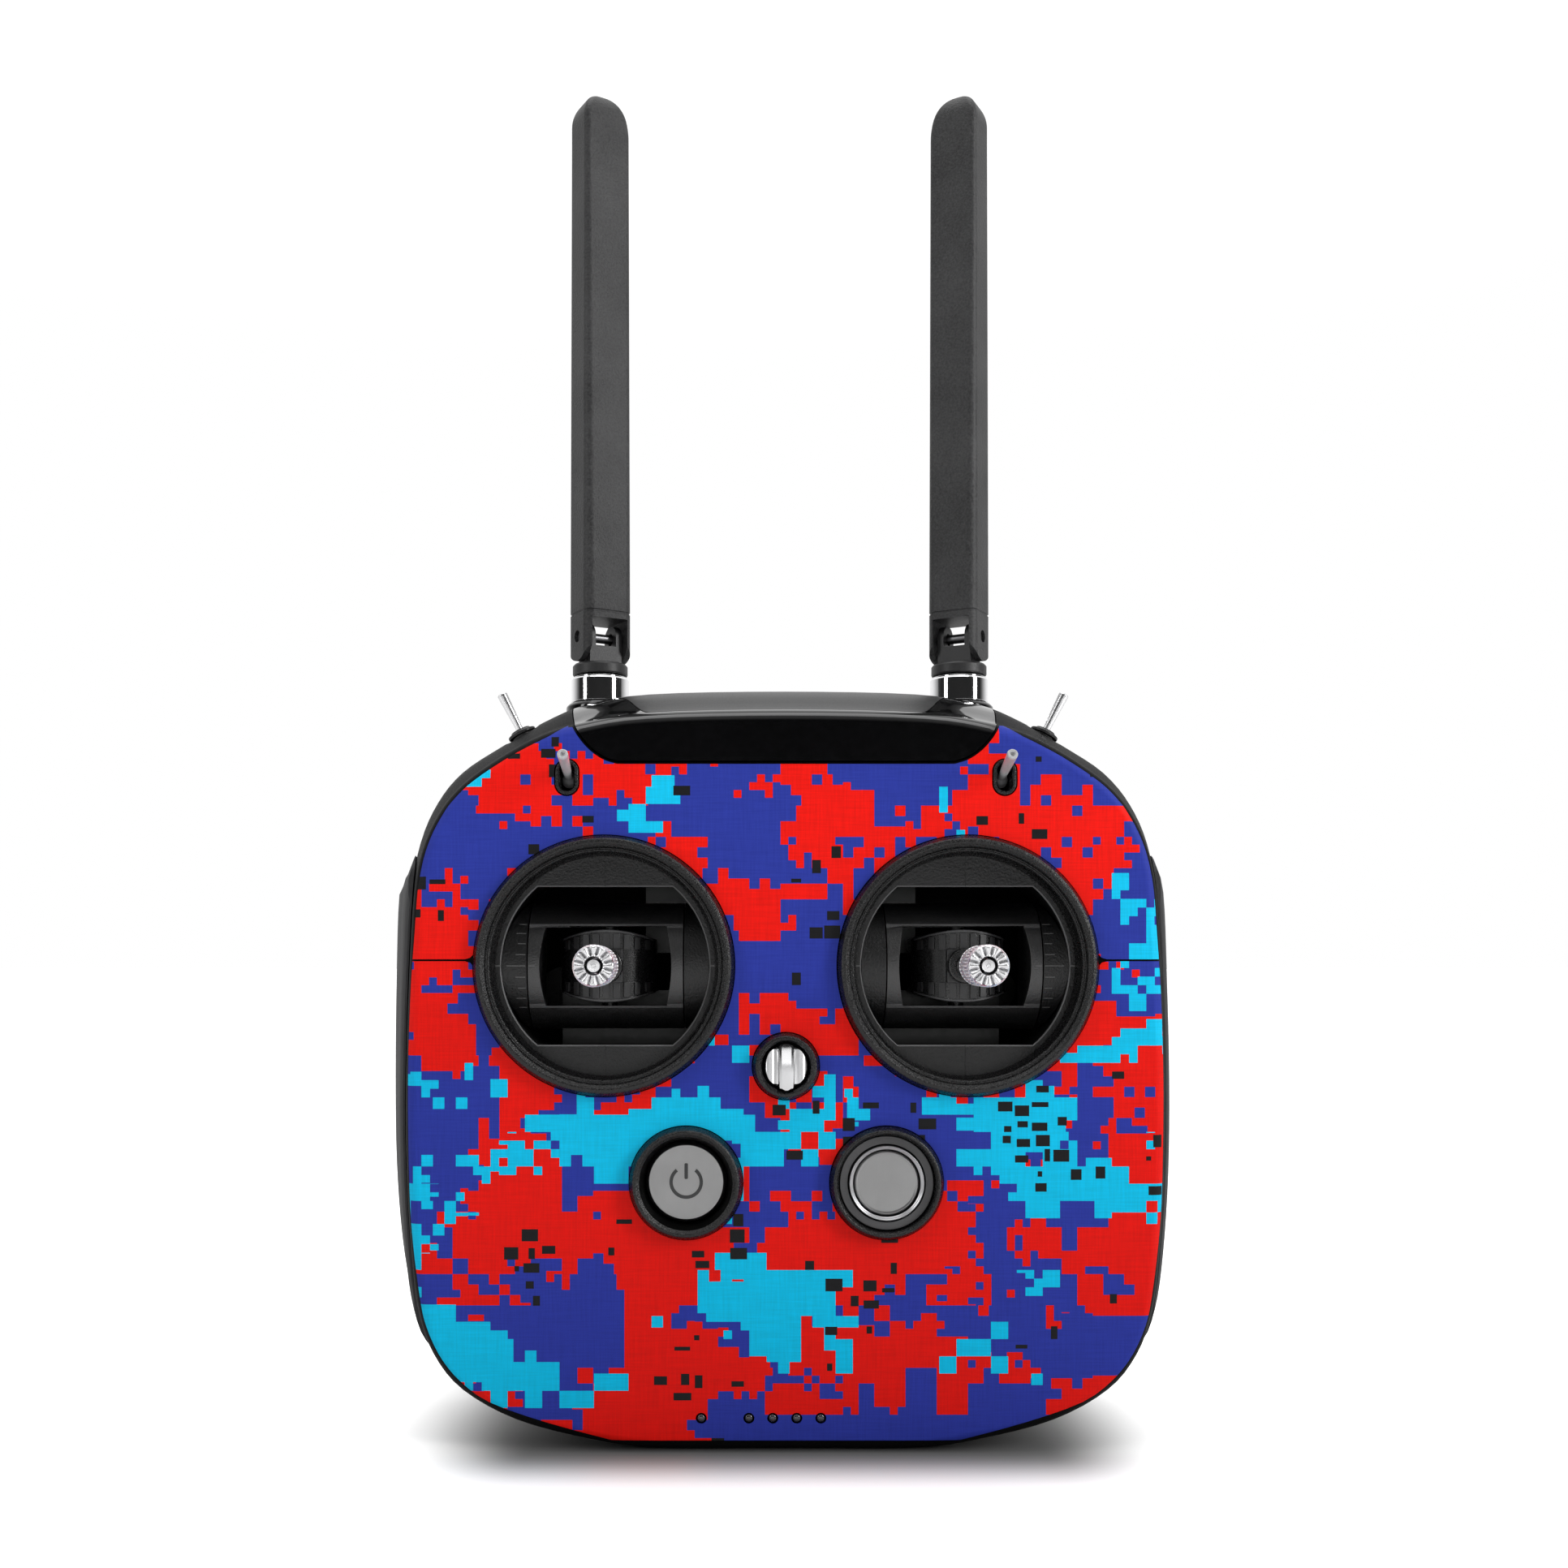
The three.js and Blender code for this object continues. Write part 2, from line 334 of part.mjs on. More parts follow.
const shoulderNuts = sides.map((s) => along([[2.0, -4.5], [2.8, -4.5], [2.8, 0.3], [4.4, 0.5], [4.4, 1.9], [2.9, 2.6], [2.0, 2.6], [2.0, -4.5]], leverFrame(...SHOULDER.map((v, i) => (i ? v : s * v)), shoulderDir(s)), 10));
const shoulderToggles = sides.map((s) => along([[0, -1.6], [0.95, -1.4], [0.95, 3], [1.3, 11.6], [1.15, 12.1], [0, 12.1]], leverFrame(...SHOULDER.map((v, i) => (i ? v : s * v)), shoulderDir(s)), 10));

// ---------- shoulders and back ----------
const dials = sides.map((s) => cylY(s * DIAL[0], DIAL[2], 10.6, DIAL[1] - 3.6, DIAL[1] + 3.6, 22).subtract(cylY(s * DIAL[0], DIAL[2], 1.6, 0, 30, 10)));
const recordButton = shoulderButton(-1, 5.0, -5, 2.2, 9, 14);
const shutterButton = shoulderButton(1, 5.0, -5, 1.4, 9, 14);
const rearButtons = sides.map((s) => cylY(s * 60, 112, 4.95, 27, 37.4, 14));

const portPanel = box(-24, 24, 26.4, 30.2, 50, 66).add(box(-23, 23, 15, 26.6, 51, 65))
  .subtract(box(-18, -5, 20, 34, 54.6, 61)).subtract(box(4, 14, 20, 34, 54.2, 61.8));

// ---------- inside ----------
const battery = box(-34, 34, 8.4, 25.4, 74, 104).subtract(box(-3, 3, 8, 9.4, 74, 78));
const mainBoard = box(-58, 58, 4.2, 5.8, 28, 112).add(box(-16, 16, 2.2, 5, 40, 66));
const radioBoard = box(-36, 36, 6.2, 7.8, 122, 164).add(box(-16, 16, 7, 11.5, 132, 156));

// ---------- antennas ----------
function antenna(s) {
  const T = new THREE.Matrix4().makeTranslation(s * ANT_X, ANT_Y, 0).multiply(new THREE.Matrix4().makeRotationZ(rad(-s * ANT_TURN)));
  const local = (geometry, m) => placed(geometry, T.clone().multiply(m));
  const b = (x0, x1, y0, y1, z0, z1) => local(new THREE.BoxGeometry(x1 - x0, y1 - y0, z1 - z0), move((x0 + x1) / 2, (y0 + y1) / 2, (z0 + z1) / 2));
  const cx = (z, r, x0, x1, seg = 20) => local(new THREE.CylinderGeometry(r, r, x1 - x0, seg), move((x0 + x1) / 2, 0, z).multiply(new THREE.Matrix4().makeRotationZ(Math.PI / 2)));
  const nut = turnZ([[4, 189.7], [7.8, 189.7], [7.8, 196.2], [7.0, 197.0], [4, 197.0], [4, 189.7]], s * ANT_X, ANT_Y, 16);
  // collar, stem and fork
  const collar = turnZ([[0, 190.2], [3.6, 190.2], [3.6, 197.3], [7.45, 197.3], [7.45, 199.6], [6.9, 200.3], [0, 200.3]], s * ANT_X, ANT_Y, 14);
  const fork = collar.add(b(-4.7, 4.7, -3.6, 3.6, 199.8, FOLD_Z).add(cx(FOLD_Z, 3.6, -4.7, 4.7, 12)).subtract(b(-3.0, 3.0, -8, 8, 205.0, 216)).subtract(cx(FOLD_Z, 1.65, -9, 9, 8)));
  const pin = cx(FOLD_Z, 1.25, -6.2, 6.2, 8);
  // paddle: rounded bar with a clevis at its foot
  const bar = [];
  const rings = [[200.6, 0, 0], [346, -0.3, -1.1]];
  const sectionAt = (hw, ht, cxo) => {
    const pts = [], r = Math.min(2.2, hw - 0.1, ht - 0.1);
    for (const [qx, qy, a0] of [[1, 1, 0], [-1, 1, 90], [-1, -1, 180], [1, -1, 270]])
      for (let i = 0; i <= 2; i++) { const a = rad(a0 + 45 * i); pts.push([cxo + qx * (hw - r) + r * Math.cos(a), qy * (ht - r) + r * Math.sin(a)]); }
    return pts;
  };
  for (const [z, dw, dt] of rings) bar.push(sectionAt(ANT_W / 2 + dw, ANT_T / 2 + dt, 0).map(([x, y]) => [x, z, y]));
  // rounded tip, blunter on the inner side
  for (const [z, inner, outer, t] of [[350.2, 0.9, 0.1, 0.2], [352.8, 2.4, 0.8, 0.7], [354.3, 4.3, 2.0, 1.4], [ANT_TOP, 6.0, 3.4, 2.4]]) {
    const hw = (ANT_W - 0.6 - inner - outer) / 2, off = (-s) * (outer - inner) / 2;
    bar.push(sectionAt(hw, ANT_T / 2 - 1.1 - t, off).map(([x, y]) => [x, z, y]));
  }
  // loft runs in a swapped frame (its middle coordinate is the height)
  const n = bar[0].length, pos = [], idx = [];
  for (const ring of bar) for (const [x, z, y] of ring) pos.push(x, y, z);
  for (let k = 0; k + 1 < bar.length; k++) for (let i = 0; i < n; i++) { const a = k * n + i, c = k * n + ((i + 1) % n); idx.push(a, c, c + n, a, c + n, a + n); }
  for (let i = 1; i + 1 < n; i++) { idx.push(0, i + 1, i); const o = (bar.length - 1) * n; idx.push(o, o + i, o + i + 1); }
  const g = new THREE.BufferGeometry();
  g.setAttribute('position', new THREE.Float32BufferAttribute(pos, 3));
  g.setIndex(idx);
  let paddle = local(g, new THREE.Matrix4());
  const foot = cx(FOLD_Z, 6.6, -8, 8, 16).add(b(-8, 8, -6.6, 6.6, FOLD_Z, 360));
  paddle = paddle.intersect(foot)
    .subtract(b(-5.2, 5.2, -8, 8, 195, 212.1)).subtract(cx(FOLD_Z, 1.65, -12, 12, 8));
  return { nut, fork, pin, paddle };
}
const antennas = sides.map(antenna);

// ---------- the assembly ----------
const group = new THREE.Group();
const paint = (color, roughness, metalness) => new THREE.MeshStandardMaterial({ color, roughness, metalness });
function add(name, solid, material) {
  const mesh = new THREE.Mesh(fromSolid(solid), material);
  mesh.name = name;
  group.add(mesh);
}
const SIDE = ['left', 'right'];
add('front_shell', frontShell, paint(0x17181a, 0.45, 0));
add('rear_shell', rearShell, paint(0x17181a, 0.5, 0));
add('vinyl_skin', skin, paint(0x283593, 0.5, 0));
add('top_cover', topCover, paint(0x0a0a0b, 0.12, 0));
SIDE.forEach((side, i) => add(`${side}_grip`, grips[i], paint(0x2a2a2c, 0.85, 0)));
SIDE.forEach((side, i) => {
  const g = gimbals[i];
  add(`${side}_gimbal_bezel`, g.bezel, paint(0x101011, 0.6, 0));
  add(`${side}_gimbal_plate`, g.plate, paint(0x131314, 0.65, 0));
  add(`${side}_outer_yoke`, g.yoke, paint(0x161617, 0.5, 0));
  add(`${side}_inner_drum`, g.drum, paint(0x0f0f10, 0.55, 0));
  add(`${side}_stick_shaft`, g.shaft, paint(0xc9c9cc, 0.3, 1));
  add(`${side}_stick_locknut`, g.nut, paint(0xcfcfd2, 0.3, 1));
  add(`${side}_stick_tip`, g.tip, paint(0xd6d6d8, 0.28, 1));
});
add('mode_bezel', modeBezel, paint(0x0e0e0f, 0.5, 0));
add('mode_knob', modeKnob, paint(0xdadada, 0.1, 1));
add('power_bezel', powerBezel, paint(0x0e0e0f, 0.6, 0));
add('power_button', powerButton, paint(0x8c8c8c, 0.45, 0.6));
add('home_bezel', homeBezel, paint(0x0e0e0f, 0.6, 0));
add('home_collar', homeCollar, paint(0x3a3a3b, 0.4, 0.2));
add('home_ring', homeRing, paint(0xdcdcdc, 0.12, 1));
add('home_button', homeButton, paint(0x8c8c8c, 0.45, 0.6));
leds.forEach((led, i) => add(i ? `battery_led_${i}` : 'status_led', led, paint(0x2c2c30, 0.2, 0)));
SIDE.forEach((side, i) => {
  add(`${side}_front_toggle_slot`, toggleSlots[i], paint(0x0c0c0d, 0.6, 0));
  add(`${side}_front_toggle`, frontToggles[i], paint(0xd9d9d9, 0.1, 1));
  add(`${side}_shoulder_toggle_nut`, shoulderNuts[i], paint(0xbdbdbd, 0.25, 1));
  add(`${side}_shoulder_toggle`, shoulderToggles[i], paint(0xd9d9d9, 0.1, 1));
  add(`${side}_dial`, dials[i], paint(0x1b1b1c, 0.5, 0));
  add(`${side}_rear_button`, rearButtons[i], paint(0x1b1b1c, 0.5, 0));
});
add('record_button', recordButton, paint(0xcccccc, 0.2, 1));
add('shutter_button', shutterButton, paint(0x202022, 0.4, 0));
add('port_panel', portPanel, paint(0x101011, 0.6, 0));
add('battery', battery, paint(0x3d4a5c, 0.6, 0));
add('main_board', mainBoard, paint(0x1f5b35, 0.6, 0));
add('radio_board', radioBoard, paint(0x1f5b35, 0.6, 0));
SIDE.forEach((side, i) => {
  const a = antennas[i];
  add(`${side}_antenna_nut`, a.nut, paint(0xdedede, 0.08, 1));
  add(`${side}_antenna_fork`, a.fork, paint(0x1a1a1b, 0.6, 0));
  add(`${side}_antenna_pin`, a.pin, paint(0x9a9a9c, 0.4, 1));
  add(`${side}_antenna_paddle`, a.paddle, paint(0x2b2b2d, 0.65, 0));
});

export default group;
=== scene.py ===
import math
import bmesh
import bpy
from mathutils import Matrix, Vector


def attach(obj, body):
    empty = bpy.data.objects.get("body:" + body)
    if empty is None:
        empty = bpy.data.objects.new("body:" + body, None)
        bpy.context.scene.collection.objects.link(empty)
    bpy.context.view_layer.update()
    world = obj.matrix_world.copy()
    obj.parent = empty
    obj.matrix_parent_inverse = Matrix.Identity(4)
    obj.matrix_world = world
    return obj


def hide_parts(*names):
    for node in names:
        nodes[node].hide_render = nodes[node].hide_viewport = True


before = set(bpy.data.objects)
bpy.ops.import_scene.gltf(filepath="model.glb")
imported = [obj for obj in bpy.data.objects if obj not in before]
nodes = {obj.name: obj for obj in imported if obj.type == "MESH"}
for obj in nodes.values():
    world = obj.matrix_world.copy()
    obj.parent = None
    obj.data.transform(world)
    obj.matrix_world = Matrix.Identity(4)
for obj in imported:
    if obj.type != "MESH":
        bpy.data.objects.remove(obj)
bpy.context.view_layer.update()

scene = bpy.context.scene
PI = math.pi
rad = math.radians

# All shapes below are drawn in millimetres and brought to metres when a piece is finished.

# ---------------------------------------------------------------- camera
cam_data = bpy.data.cameras.new("camera")
cam_data.lens = 36.1
cam_data.sensor_width = 36.0
cam_data.sensor_fit = "HORIZONTAL"
cam_data.shift_x = 0.0368
cam_data.shift_y = 0.116
cam_data.clip_start = 0.01
cam = bpy.data.objects.new("camera", cam_data)
cam.location = (-0.0145, -0.414, 0.1185)
cam.rotation_euler = (PI / 2, 0, 0)
scene.collection.objects.link(cam)
scene.camera = cam
scene.view_settings.view_transform = "Standard"


# ---------------------------------------------------------------- mesh tools
def lerp(a, b, t):
    return a + (b - a) * t


def smooth(a, b, x):
    t = min(1.0, max(0.0, (x - a) / (b - a)))
    return t * t * (3 - 2 * t)


def raw(verts, faces):
    """closed mesh in millimetres, faces turned outward"""
    me = bpy.data.meshes.new("work")
    me.from_pydata([tuple(v) for v in verts], [], faces)
    bm = bmesh.new()
    bm.from_mesh(me)
    bmesh.ops.remove_doubles(bm, verts=bm.verts, dist=1e-5)
    bmesh.ops.recalc_face_normals(bm, faces=bm.faces)
    bm.to_mesh(me)
    bm.free()
    ob = bpy.data.objects.new("work", me)
    scene.collection.objects.link(ob)
    return ob


def drop(*obs):
    for o in obs:
        me = o.data
        bpy.data.objects.remove(o)
        if me.users == 0:
            bpy.data.meshes.remove(me)


def baked(ob):
    """the mesh with its modifiers applied"""
    dg = bpy.context.evaluated_depsgraph_get()
    me = bpy.data.meshes.new_from_object(ob.evaluated_get(dg))
    old = ob.data
    ob.modifiers.clear()
    ob.data = me
    if old.users == 0:
        bpy.data.meshes.remove(old)
    return ob


def boolean(ob, tools, op="DIFFERENCE", keep=False):
    for t in tools:
        m = ob.modifiers.new("b", "BOOLEAN")
        m.operation = op
        m.solver = "MANIFOLD"
        m.object = t
    baked(ob)
    if not keep:
        drop(*tools)
    return ob


def copy(ob, shift=(0, 0, 0)):
    me = ob.data.copy()
    me.transform(Matrix.Translation(shift))
    o = bpy.data.objects.new("work", me)
    scene.collection.objects.link(o)
    return o


def join(obs, mats=None):
    """one object from several closed ones; a list of material numbers keeps them apart"""
    bm = bmesh.new()
    for k, o in enumerate(obs):
        n = len(bm.faces)
        bm.from_mesh(o.data)
        bm.faces.ensure_lookup_table()
        if mats is not None and mats[k] is not None:
            for f in bm.faces[n:]:
                f.material_index = mats[k]
    me = bpy.data.meshes.new("work")
    bm.to_mesh(me)
    bm.free()
    drop(*obs)
    o = bpy.data.objects.new("work", me)
    scene.collection.objects.link(o)
    return o


def rnd(pts, closed=False, step=15):
    """outline points (a, b, radius) with their corners rounded"""
    n, out = len(pts), []
    for i, p in enumerate(pts):
        r = p[2] if len(p) > 2 else 0
        if r <= 0 or (not closed and i in (0, n - 1)):
            out.append((p[0], p[1]))
            continue
        a, b, c = Vector(pts[(i - 1) % n][:2]), Vector(p[:2]), Vector(pts[(i + 1) % n][:2])
        u, v = a - b, c - b
        lu, lv = u.length, v.length
        u, v = u / lu, v / lv
        ang = math.acos(max(-1, min(1, u.dot(v))))
        if ang > 3.08:
            out.append((p[0], p[1]))
            continue
        t = min(r / math.tan(ang / 2), 0.48 * lu, 0.48 * lv)
        rr = t * math.tan(ang / 2)
        m = b + (u + v).normalized() * (rr / math.sin(ang / 2))
        p0, p1 = b + u * t - m, b + v * t - m
        a0, a1 = math.atan2(p0.y, p0.x), math.atan2(p1.y, p1.x)
        d = (a1 - a0 + PI) % (2 * PI) - PI
        k = max(2, int(math.ceil(abs(d) / rad(step))))
        out += [(m.x + rr * math.cos(a0 + d * j / k), m.y + rr * math.sin(a0 + d * j / k)) for j in range(k + 1)]
    return out


def axis_y(x, z):
    """local Z runs along world +Y"""
    return Matrix(((1, 0, 0, x), (0, 0, 1, 0), (0, -1, 0, z), (0, 0, 0, 1)))


def axis_x(y, z):
    return Matrix(((0, 0, 1, 0), (1, 0, 0, y), (0, 1, 0, z), (0, 0, 0, 1)))


def axis_z(x, y, z=0):
    return Matrix.Translation((x, y, z))


def axis_dir(o, d):
    d = Vector(d).normalized()
    return Matrix.Translation(o) @ d.to_track_quat("Z", "Y").to_matrix().to_4x4()


def lathe(profile, M, seg=64, warp=None):
    """turned closed solid; profile of (radius, height)"""
    on_axis = abs(profile[0][0]) < 1e-6 and abs(profile[-1][0]) < 1e-6
    verts, rows = [], []
    for r, h in profile:
        if r < 1e-6:
            rows.append([len(verts)])
            verts.append(M @ Vector((0, 0, h)))
        else:
            rows.append(list(range(len(verts), len(verts) + seg)))
            for i in range(seg):
                a = 2 * PI * i / seg
                rr, hh = warp(r, h, a) if warp else (r, h)
                verts.append(M @ Vector((rr * math.cos(a), rr * math.sin(a), hh)))
    faces = []
    pairs = [(k, k + 1) for k in range(len(rows) - 1)]
    if not on_axis:
        pairs.append((len(rows) - 1, 0))
    for k, l in pairs:
        a, b = rows[k], rows[l]
        for i in range(seg):
            j = (i + 1) % seg
            if len(a) == 1 and len(b) > 1:
                faces.append((a[0], b[j], b[i]))
            elif len(b) == 1 and len(a) > 1:
                faces.append((a[i], a[j], b[0]))
            elif len(a) > 1:
                faces.append((a[i], a[j], b[j], b[i]))
    return raw(verts, faces)


def cyl(M, r, h0, h1, seg=64):
    return lathe([(0, h0), (r, h0), (r, h1), (0, h1)], M, seg)


def loft(rings):
    n = len(rings[0])
    verts = [p for ring in rings for p in ring]
    faces = [(k * n + i, k * n + (i + 1) % n, (k + 1) * n + (i + 1) % n, (k + 1) * n + i) for k in range(len(rings) - 1) for i in range(n)]
    faces.append(tuple(range(n)))
    faces.append(tuple((len(rings) - 1) * n + i for i in reversed(range(n))))
    return raw(verts, faces)


def area2(ring):
    return sum(ring[i][0] * ring[(i + 1) % len(ring)][1] - ring[(i + 1) % len(ring)][0] * ring[i][1] for i in range(len(ring)))


def grow(ring, d):
    """outline moved outward by d, which may be a function of the point"""
    n, s, out = len(ring), 1 if area2(ring) > 0 else -1, []
    for i, (x, z) in enumerate(ring):
        a, b = ring[i - 1], ring[(i + 1) % n]
        tx, tz = b[0] - a[0], b[1] - a[1]
        l = math.hypot(tx, tz) or 1
        o = d(x, z) if callable(d) else d
        out.append((x + s * tz / l * o, z - s * tx / l * o))
    return out


def prism(outline, levels):
    """solid along Y from an XZ outline; levels of (y, growth)"""
    return loft([[(x, y, z) for x, z in (grow(outline, g) if g else outline)] for y, g in levels])


def prism_x(outline, x0, x1):
    return loft([[(x, y, z) for y, z in outline] for x in (x0, x1)])


def prism_z(outline, levels):
    return loft([[(x, y, z) for x, y in (grow(outline, g) if g else outline)] for z, g in levels])


def box(x0, x1, y0, y1, z0, z1, r=0, seg=3, M=None):
    v = [(x, y, z) for x in (x0, x1) for y in (y0, y1) for z in (z0, z1)]
    f = [(0, 1, 3, 2), (4, 6, 7, 5), (0, 4, 5, 1), (2, 3, 7, 6), (0, 2, 6, 4), (1, 5, 7, 3)]
    ob = raw(v, f)
    if r:
        bm = bmesh.new()
        bm.from_mesh(ob.data)
        bmesh.ops.bevel(bm, geom=bm.edges[:], offset=r, segments=seg, profile=0.5, affect="EDGES", clamp_overlap=True)
        bm.to_mesh(ob.data)
        bm.free()
    if M is not None:
        ob.data.transform(M)
    return ob


def catmull(pts, k, closed=False):
    n, out = len(pts), []
    for i in range(n if closed else n - 1):
        if closed:
            p0, p1, p2, p3 = pts[i - 1], pts[i], pts[(i + 1) % n], pts[(i + 2) % n]
        else:
            p0, p1, p2, p3 = pts[max(0, i - 1)], pts[i], pts[i + 1], pts[min(n - 1, i + 2)]
        for j in range(k):
            t = j / k
            out.append(tuple(0.5 * (2 * p1[c] + (p2[c] - p0[c]) * t + (2 * p0[c] - 5 * p1[c] + 4 * p2[c] - p3[c]) * t * t + (3 * p1[c] - p0[c] - 3 * p2[c] + p3[c]) * t ** 3) for c in range(len(p1))))
    if not closed:
        out.append(tuple(pts[-1]))
    return out


def bevel(ob, w, seg=2, angle=40):
    m = ob.modifiers.new("bevel", "BEVEL")
    m.width = w
    m.segments = seg
    m.limit_method = "ANGLE"
    m.angle_limit = rad(angle)
    m.use_clamp_overlap = True
    m.harden_normals = False
    return baked(ob)


def finish_piece(ob, name, body, replaces, mats, sharp=32, weighted=True):
    me = ob.data
    me.transform(Matrix.Scale(0.001, 4))
    bm = bmesh.new()
    bm.from_mesh(me)
    bmesh.ops.remove_doubles(bm, verts=bm.verts, dist=2e-8)
    bmesh.ops.dissolve_degenerate(bm, dist=1e-8, edges=bm.edges)
    lim = rad(sharp)
    for f in bm.faces:
        f.smooth = True
    for e in bm.edges:
        if len(e.link_faces) == 2:
            e.smooth = e.link_faces[0].normal.angle(e.link_faces[1].normal, 0) < lim
    bm.to_mesh(me)
    bm.free()
    me.name = name
    ob.name = name
    which = [p.material_index for p in me.polygons]
    me.materials.clear()
    for m in mats if isinstance(mats, (list, tuple)) else [mats]:
        me.materials.append(m)
    for p, k in zip(me.polygons, which):
        p.material_index = k
    if weighted:
        w = ob.modifiers.new("weighted_normals", "WEIGHTED_NORMAL")
        w.keep_sharp = True
        w.mode = "FACE_AREA"
        w.weight = 60
    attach(ob, body)
    if replaces:
        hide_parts(*([replaces] if isinstance(replaces, str) else replaces))
    return ob


# ---------------------------------------------------------------- material tools
class Mat:
    """a material under construction, with short calls for its nodes"""

    def __init__(self, name):
        self.m = bpy.data.materials.new(name)
        self.m.use_nodes = True
        self.t = self.m.node_tree
        self.b = self.t.nodes["Principled BSDF"]
        self.tc = self.t.nodes.new("ShaderNodeTexCoord")
        self.co = self.tc.outputs["Object"]

    def put(self, socket, v):
        if isinstance(v, bpy.types.NodeSocket):
            self.t.links.new(v, socket)
        elif v is not None:
            if hasattr(socket.default_value, "__len__"):
                n = len(socket.default_value)
                v = tuple(v) if hasattr(v, "__len__") else (v,) * n
                socket.default_value = v if len(v) == n else (*v, 1.0)[:n]
            else:
                socket.default_value = v

    def set(self, **k):
        for a, v in k.items():
            self.put(self.b.inputs[a.replace("_", " ")], v)
        return self

    def math(self, op, a, b=None, c=None, clamp=False):
        n = self.t.nodes.new("ShaderNodeMath")
        n.operation = op
        n.use_clamp = clamp
        for s, v in zip(n.inputs, (a, b, c)):
            self.put(s, v)
        return n.outputs[0]

    def vec(self, op, a, b=None):
        n = self.t.nodes.new("ShaderNodeVectorMath")
        n.operation = op
        self.put(n.inputs[0], a)
        if b is not None:
            self.put(n.inputs[1], b)
        return n.outputs[0]

    def xyz(self, x=0.0, y=0.0, z=0.0):
        n = self.t.nodes.new("ShaderNodeCombineXYZ")
        for s, v in zip(n.inputs, (x, y, z)):
            self.put(s, v)
        return n.outputs[0]

    def split(self, v):
        n = self.t.nodes.new("ShaderNodeSeparateXYZ")
        self.put(n.inputs[0], v)
        return n.outputs

    def noise(self, v, scale, detail=2.0, rough=0.5, dist=0.0):
        n = self.t.nodes.new("ShaderNodeTexNoise")
        self.put(n.inputs["Vector"], v)
        n.inputs["Scale"].default_value = scale
        n.inputs["Detail"].default_value = detail
        n.inputs["Roughness"].default_value = rough
        n.inputs["Distortion"].default_value = dist
        return n.outputs[0]

    def white(self, v):
        n = self.t.nodes.new("ShaderNodeTexWhiteNoise")
        n.noise_dimensions = "3D"
        self.put(n.inputs["Vector"], v)
        return n.outputs["Value"]

    def voronoi(self, v, scale, feature="F1"):
        n = self.t.nodes.new("ShaderNodeTexVoronoi")
        n.feature = feature
        self.put(n.inputs["Vector"], v)
        n.inputs["Scale"].default_value = scale
        return n.outputs["Distance"]

    def range(self, v, a, b, c, d, smoothstep=False):
        n = self.t.nodes.new("ShaderNodeMapRange")
        if smoothstep:
            n.interpolation_type = "SMOOTHSTEP"
        for s, x in zip(n.inputs, (v, a, b, c, d)):
            self.put(s, x)
        return n.outputs[0]

    def mix(self, f, a, b, blend="MIX"):
        n = self.t.nodes.new("ShaderNodeMix")
        n.data_type = "RGBA"
        n.blend_type = blend
        self.put(n.inputs[0], f)
        self.put(n.inputs[6], a)
        self.put(n.inputs[7], b)
        return n.outputs[2]

    def bump(self, h, dist, strength=1.0):
        n = self.t.nodes.new("ShaderNodeBump")
        n.inputs["Distance"].default_value = dist
        n.inputs["Strength"].default_value = strength
        self.put(n.inputs["Height"], h)
        self.put(self.b.inputs["Normal"], n.outputs[0])
        return n


def moulded(name, dark, light, rough, grain=0.00028, depth=0.00002, spec=0.5, spread=0.06, wear=0.0, coat=0.0, stretch=None):
    """fine-grained moulded plastic: two tones, grain in colour, roughness and bump"""
    k = Mat(name)
    co = k.vec("MULTIPLY", k.co, stretch) if stretch else k.co
    g = k.noise(co, 1 / grain, 3.0, 0.6)
    big = k.noise(k.co, 60.0, 3.0, 0.55)
    f = k.math("ADD", k.math("MULTIPLY", g, 0.65), k.math("MULTIPLY", big, 0.35))
    col = k.mix(k.range(f, 0.34, 0.66, 0.0, 1.0), dark, light)
    if wear:
        geo = k.t.nodes.new("ShaderNodeNewGeometry")
        edge = k.range(geo.outputs["Pointiness"], 0.52, 0.62, 0.0, wear)
        col = k.mix(edge, col, tuple(min(1, c * 4 + 0.03) for c in light))
    k.set(Base_Color=col, Roughness=k.range(g, 0.3, 0.7, rough - spread, rough + spread), Specular_IOR_Level=spec)
    if coat:
        k.set(Coat_Weight=coat, Coat_Roughness=0.05)
    k.bump(g, depth, 1.0)
    return k.m


def metal(name, col, rough, brushed=None, spread=0.05, depth=0.000004, scale=3000.0):
    """plated or turned metal; brushed stretches the marks"""
    k = Mat(name)
    v = k.vec("MULTIPLY", k.co, brushed) if brushed else k.co
    n = k.noise(v, scale, 3.0, 0.6)
    s = k.noise(k.co, 150.0, 2.0, 0.5)
    k.set(Base_Color=k.mix(k.range(s, 0.35, 0.65, 0.0, 1.0), tuple(c * 0.94 for c in col), col), Metallic=1.0,
          Roughness=k.range(n, 0.3, 0.7, max(0.02, rough - spread), rough + spread))
    k.bump(n, depth, 0.6)
    return k.m


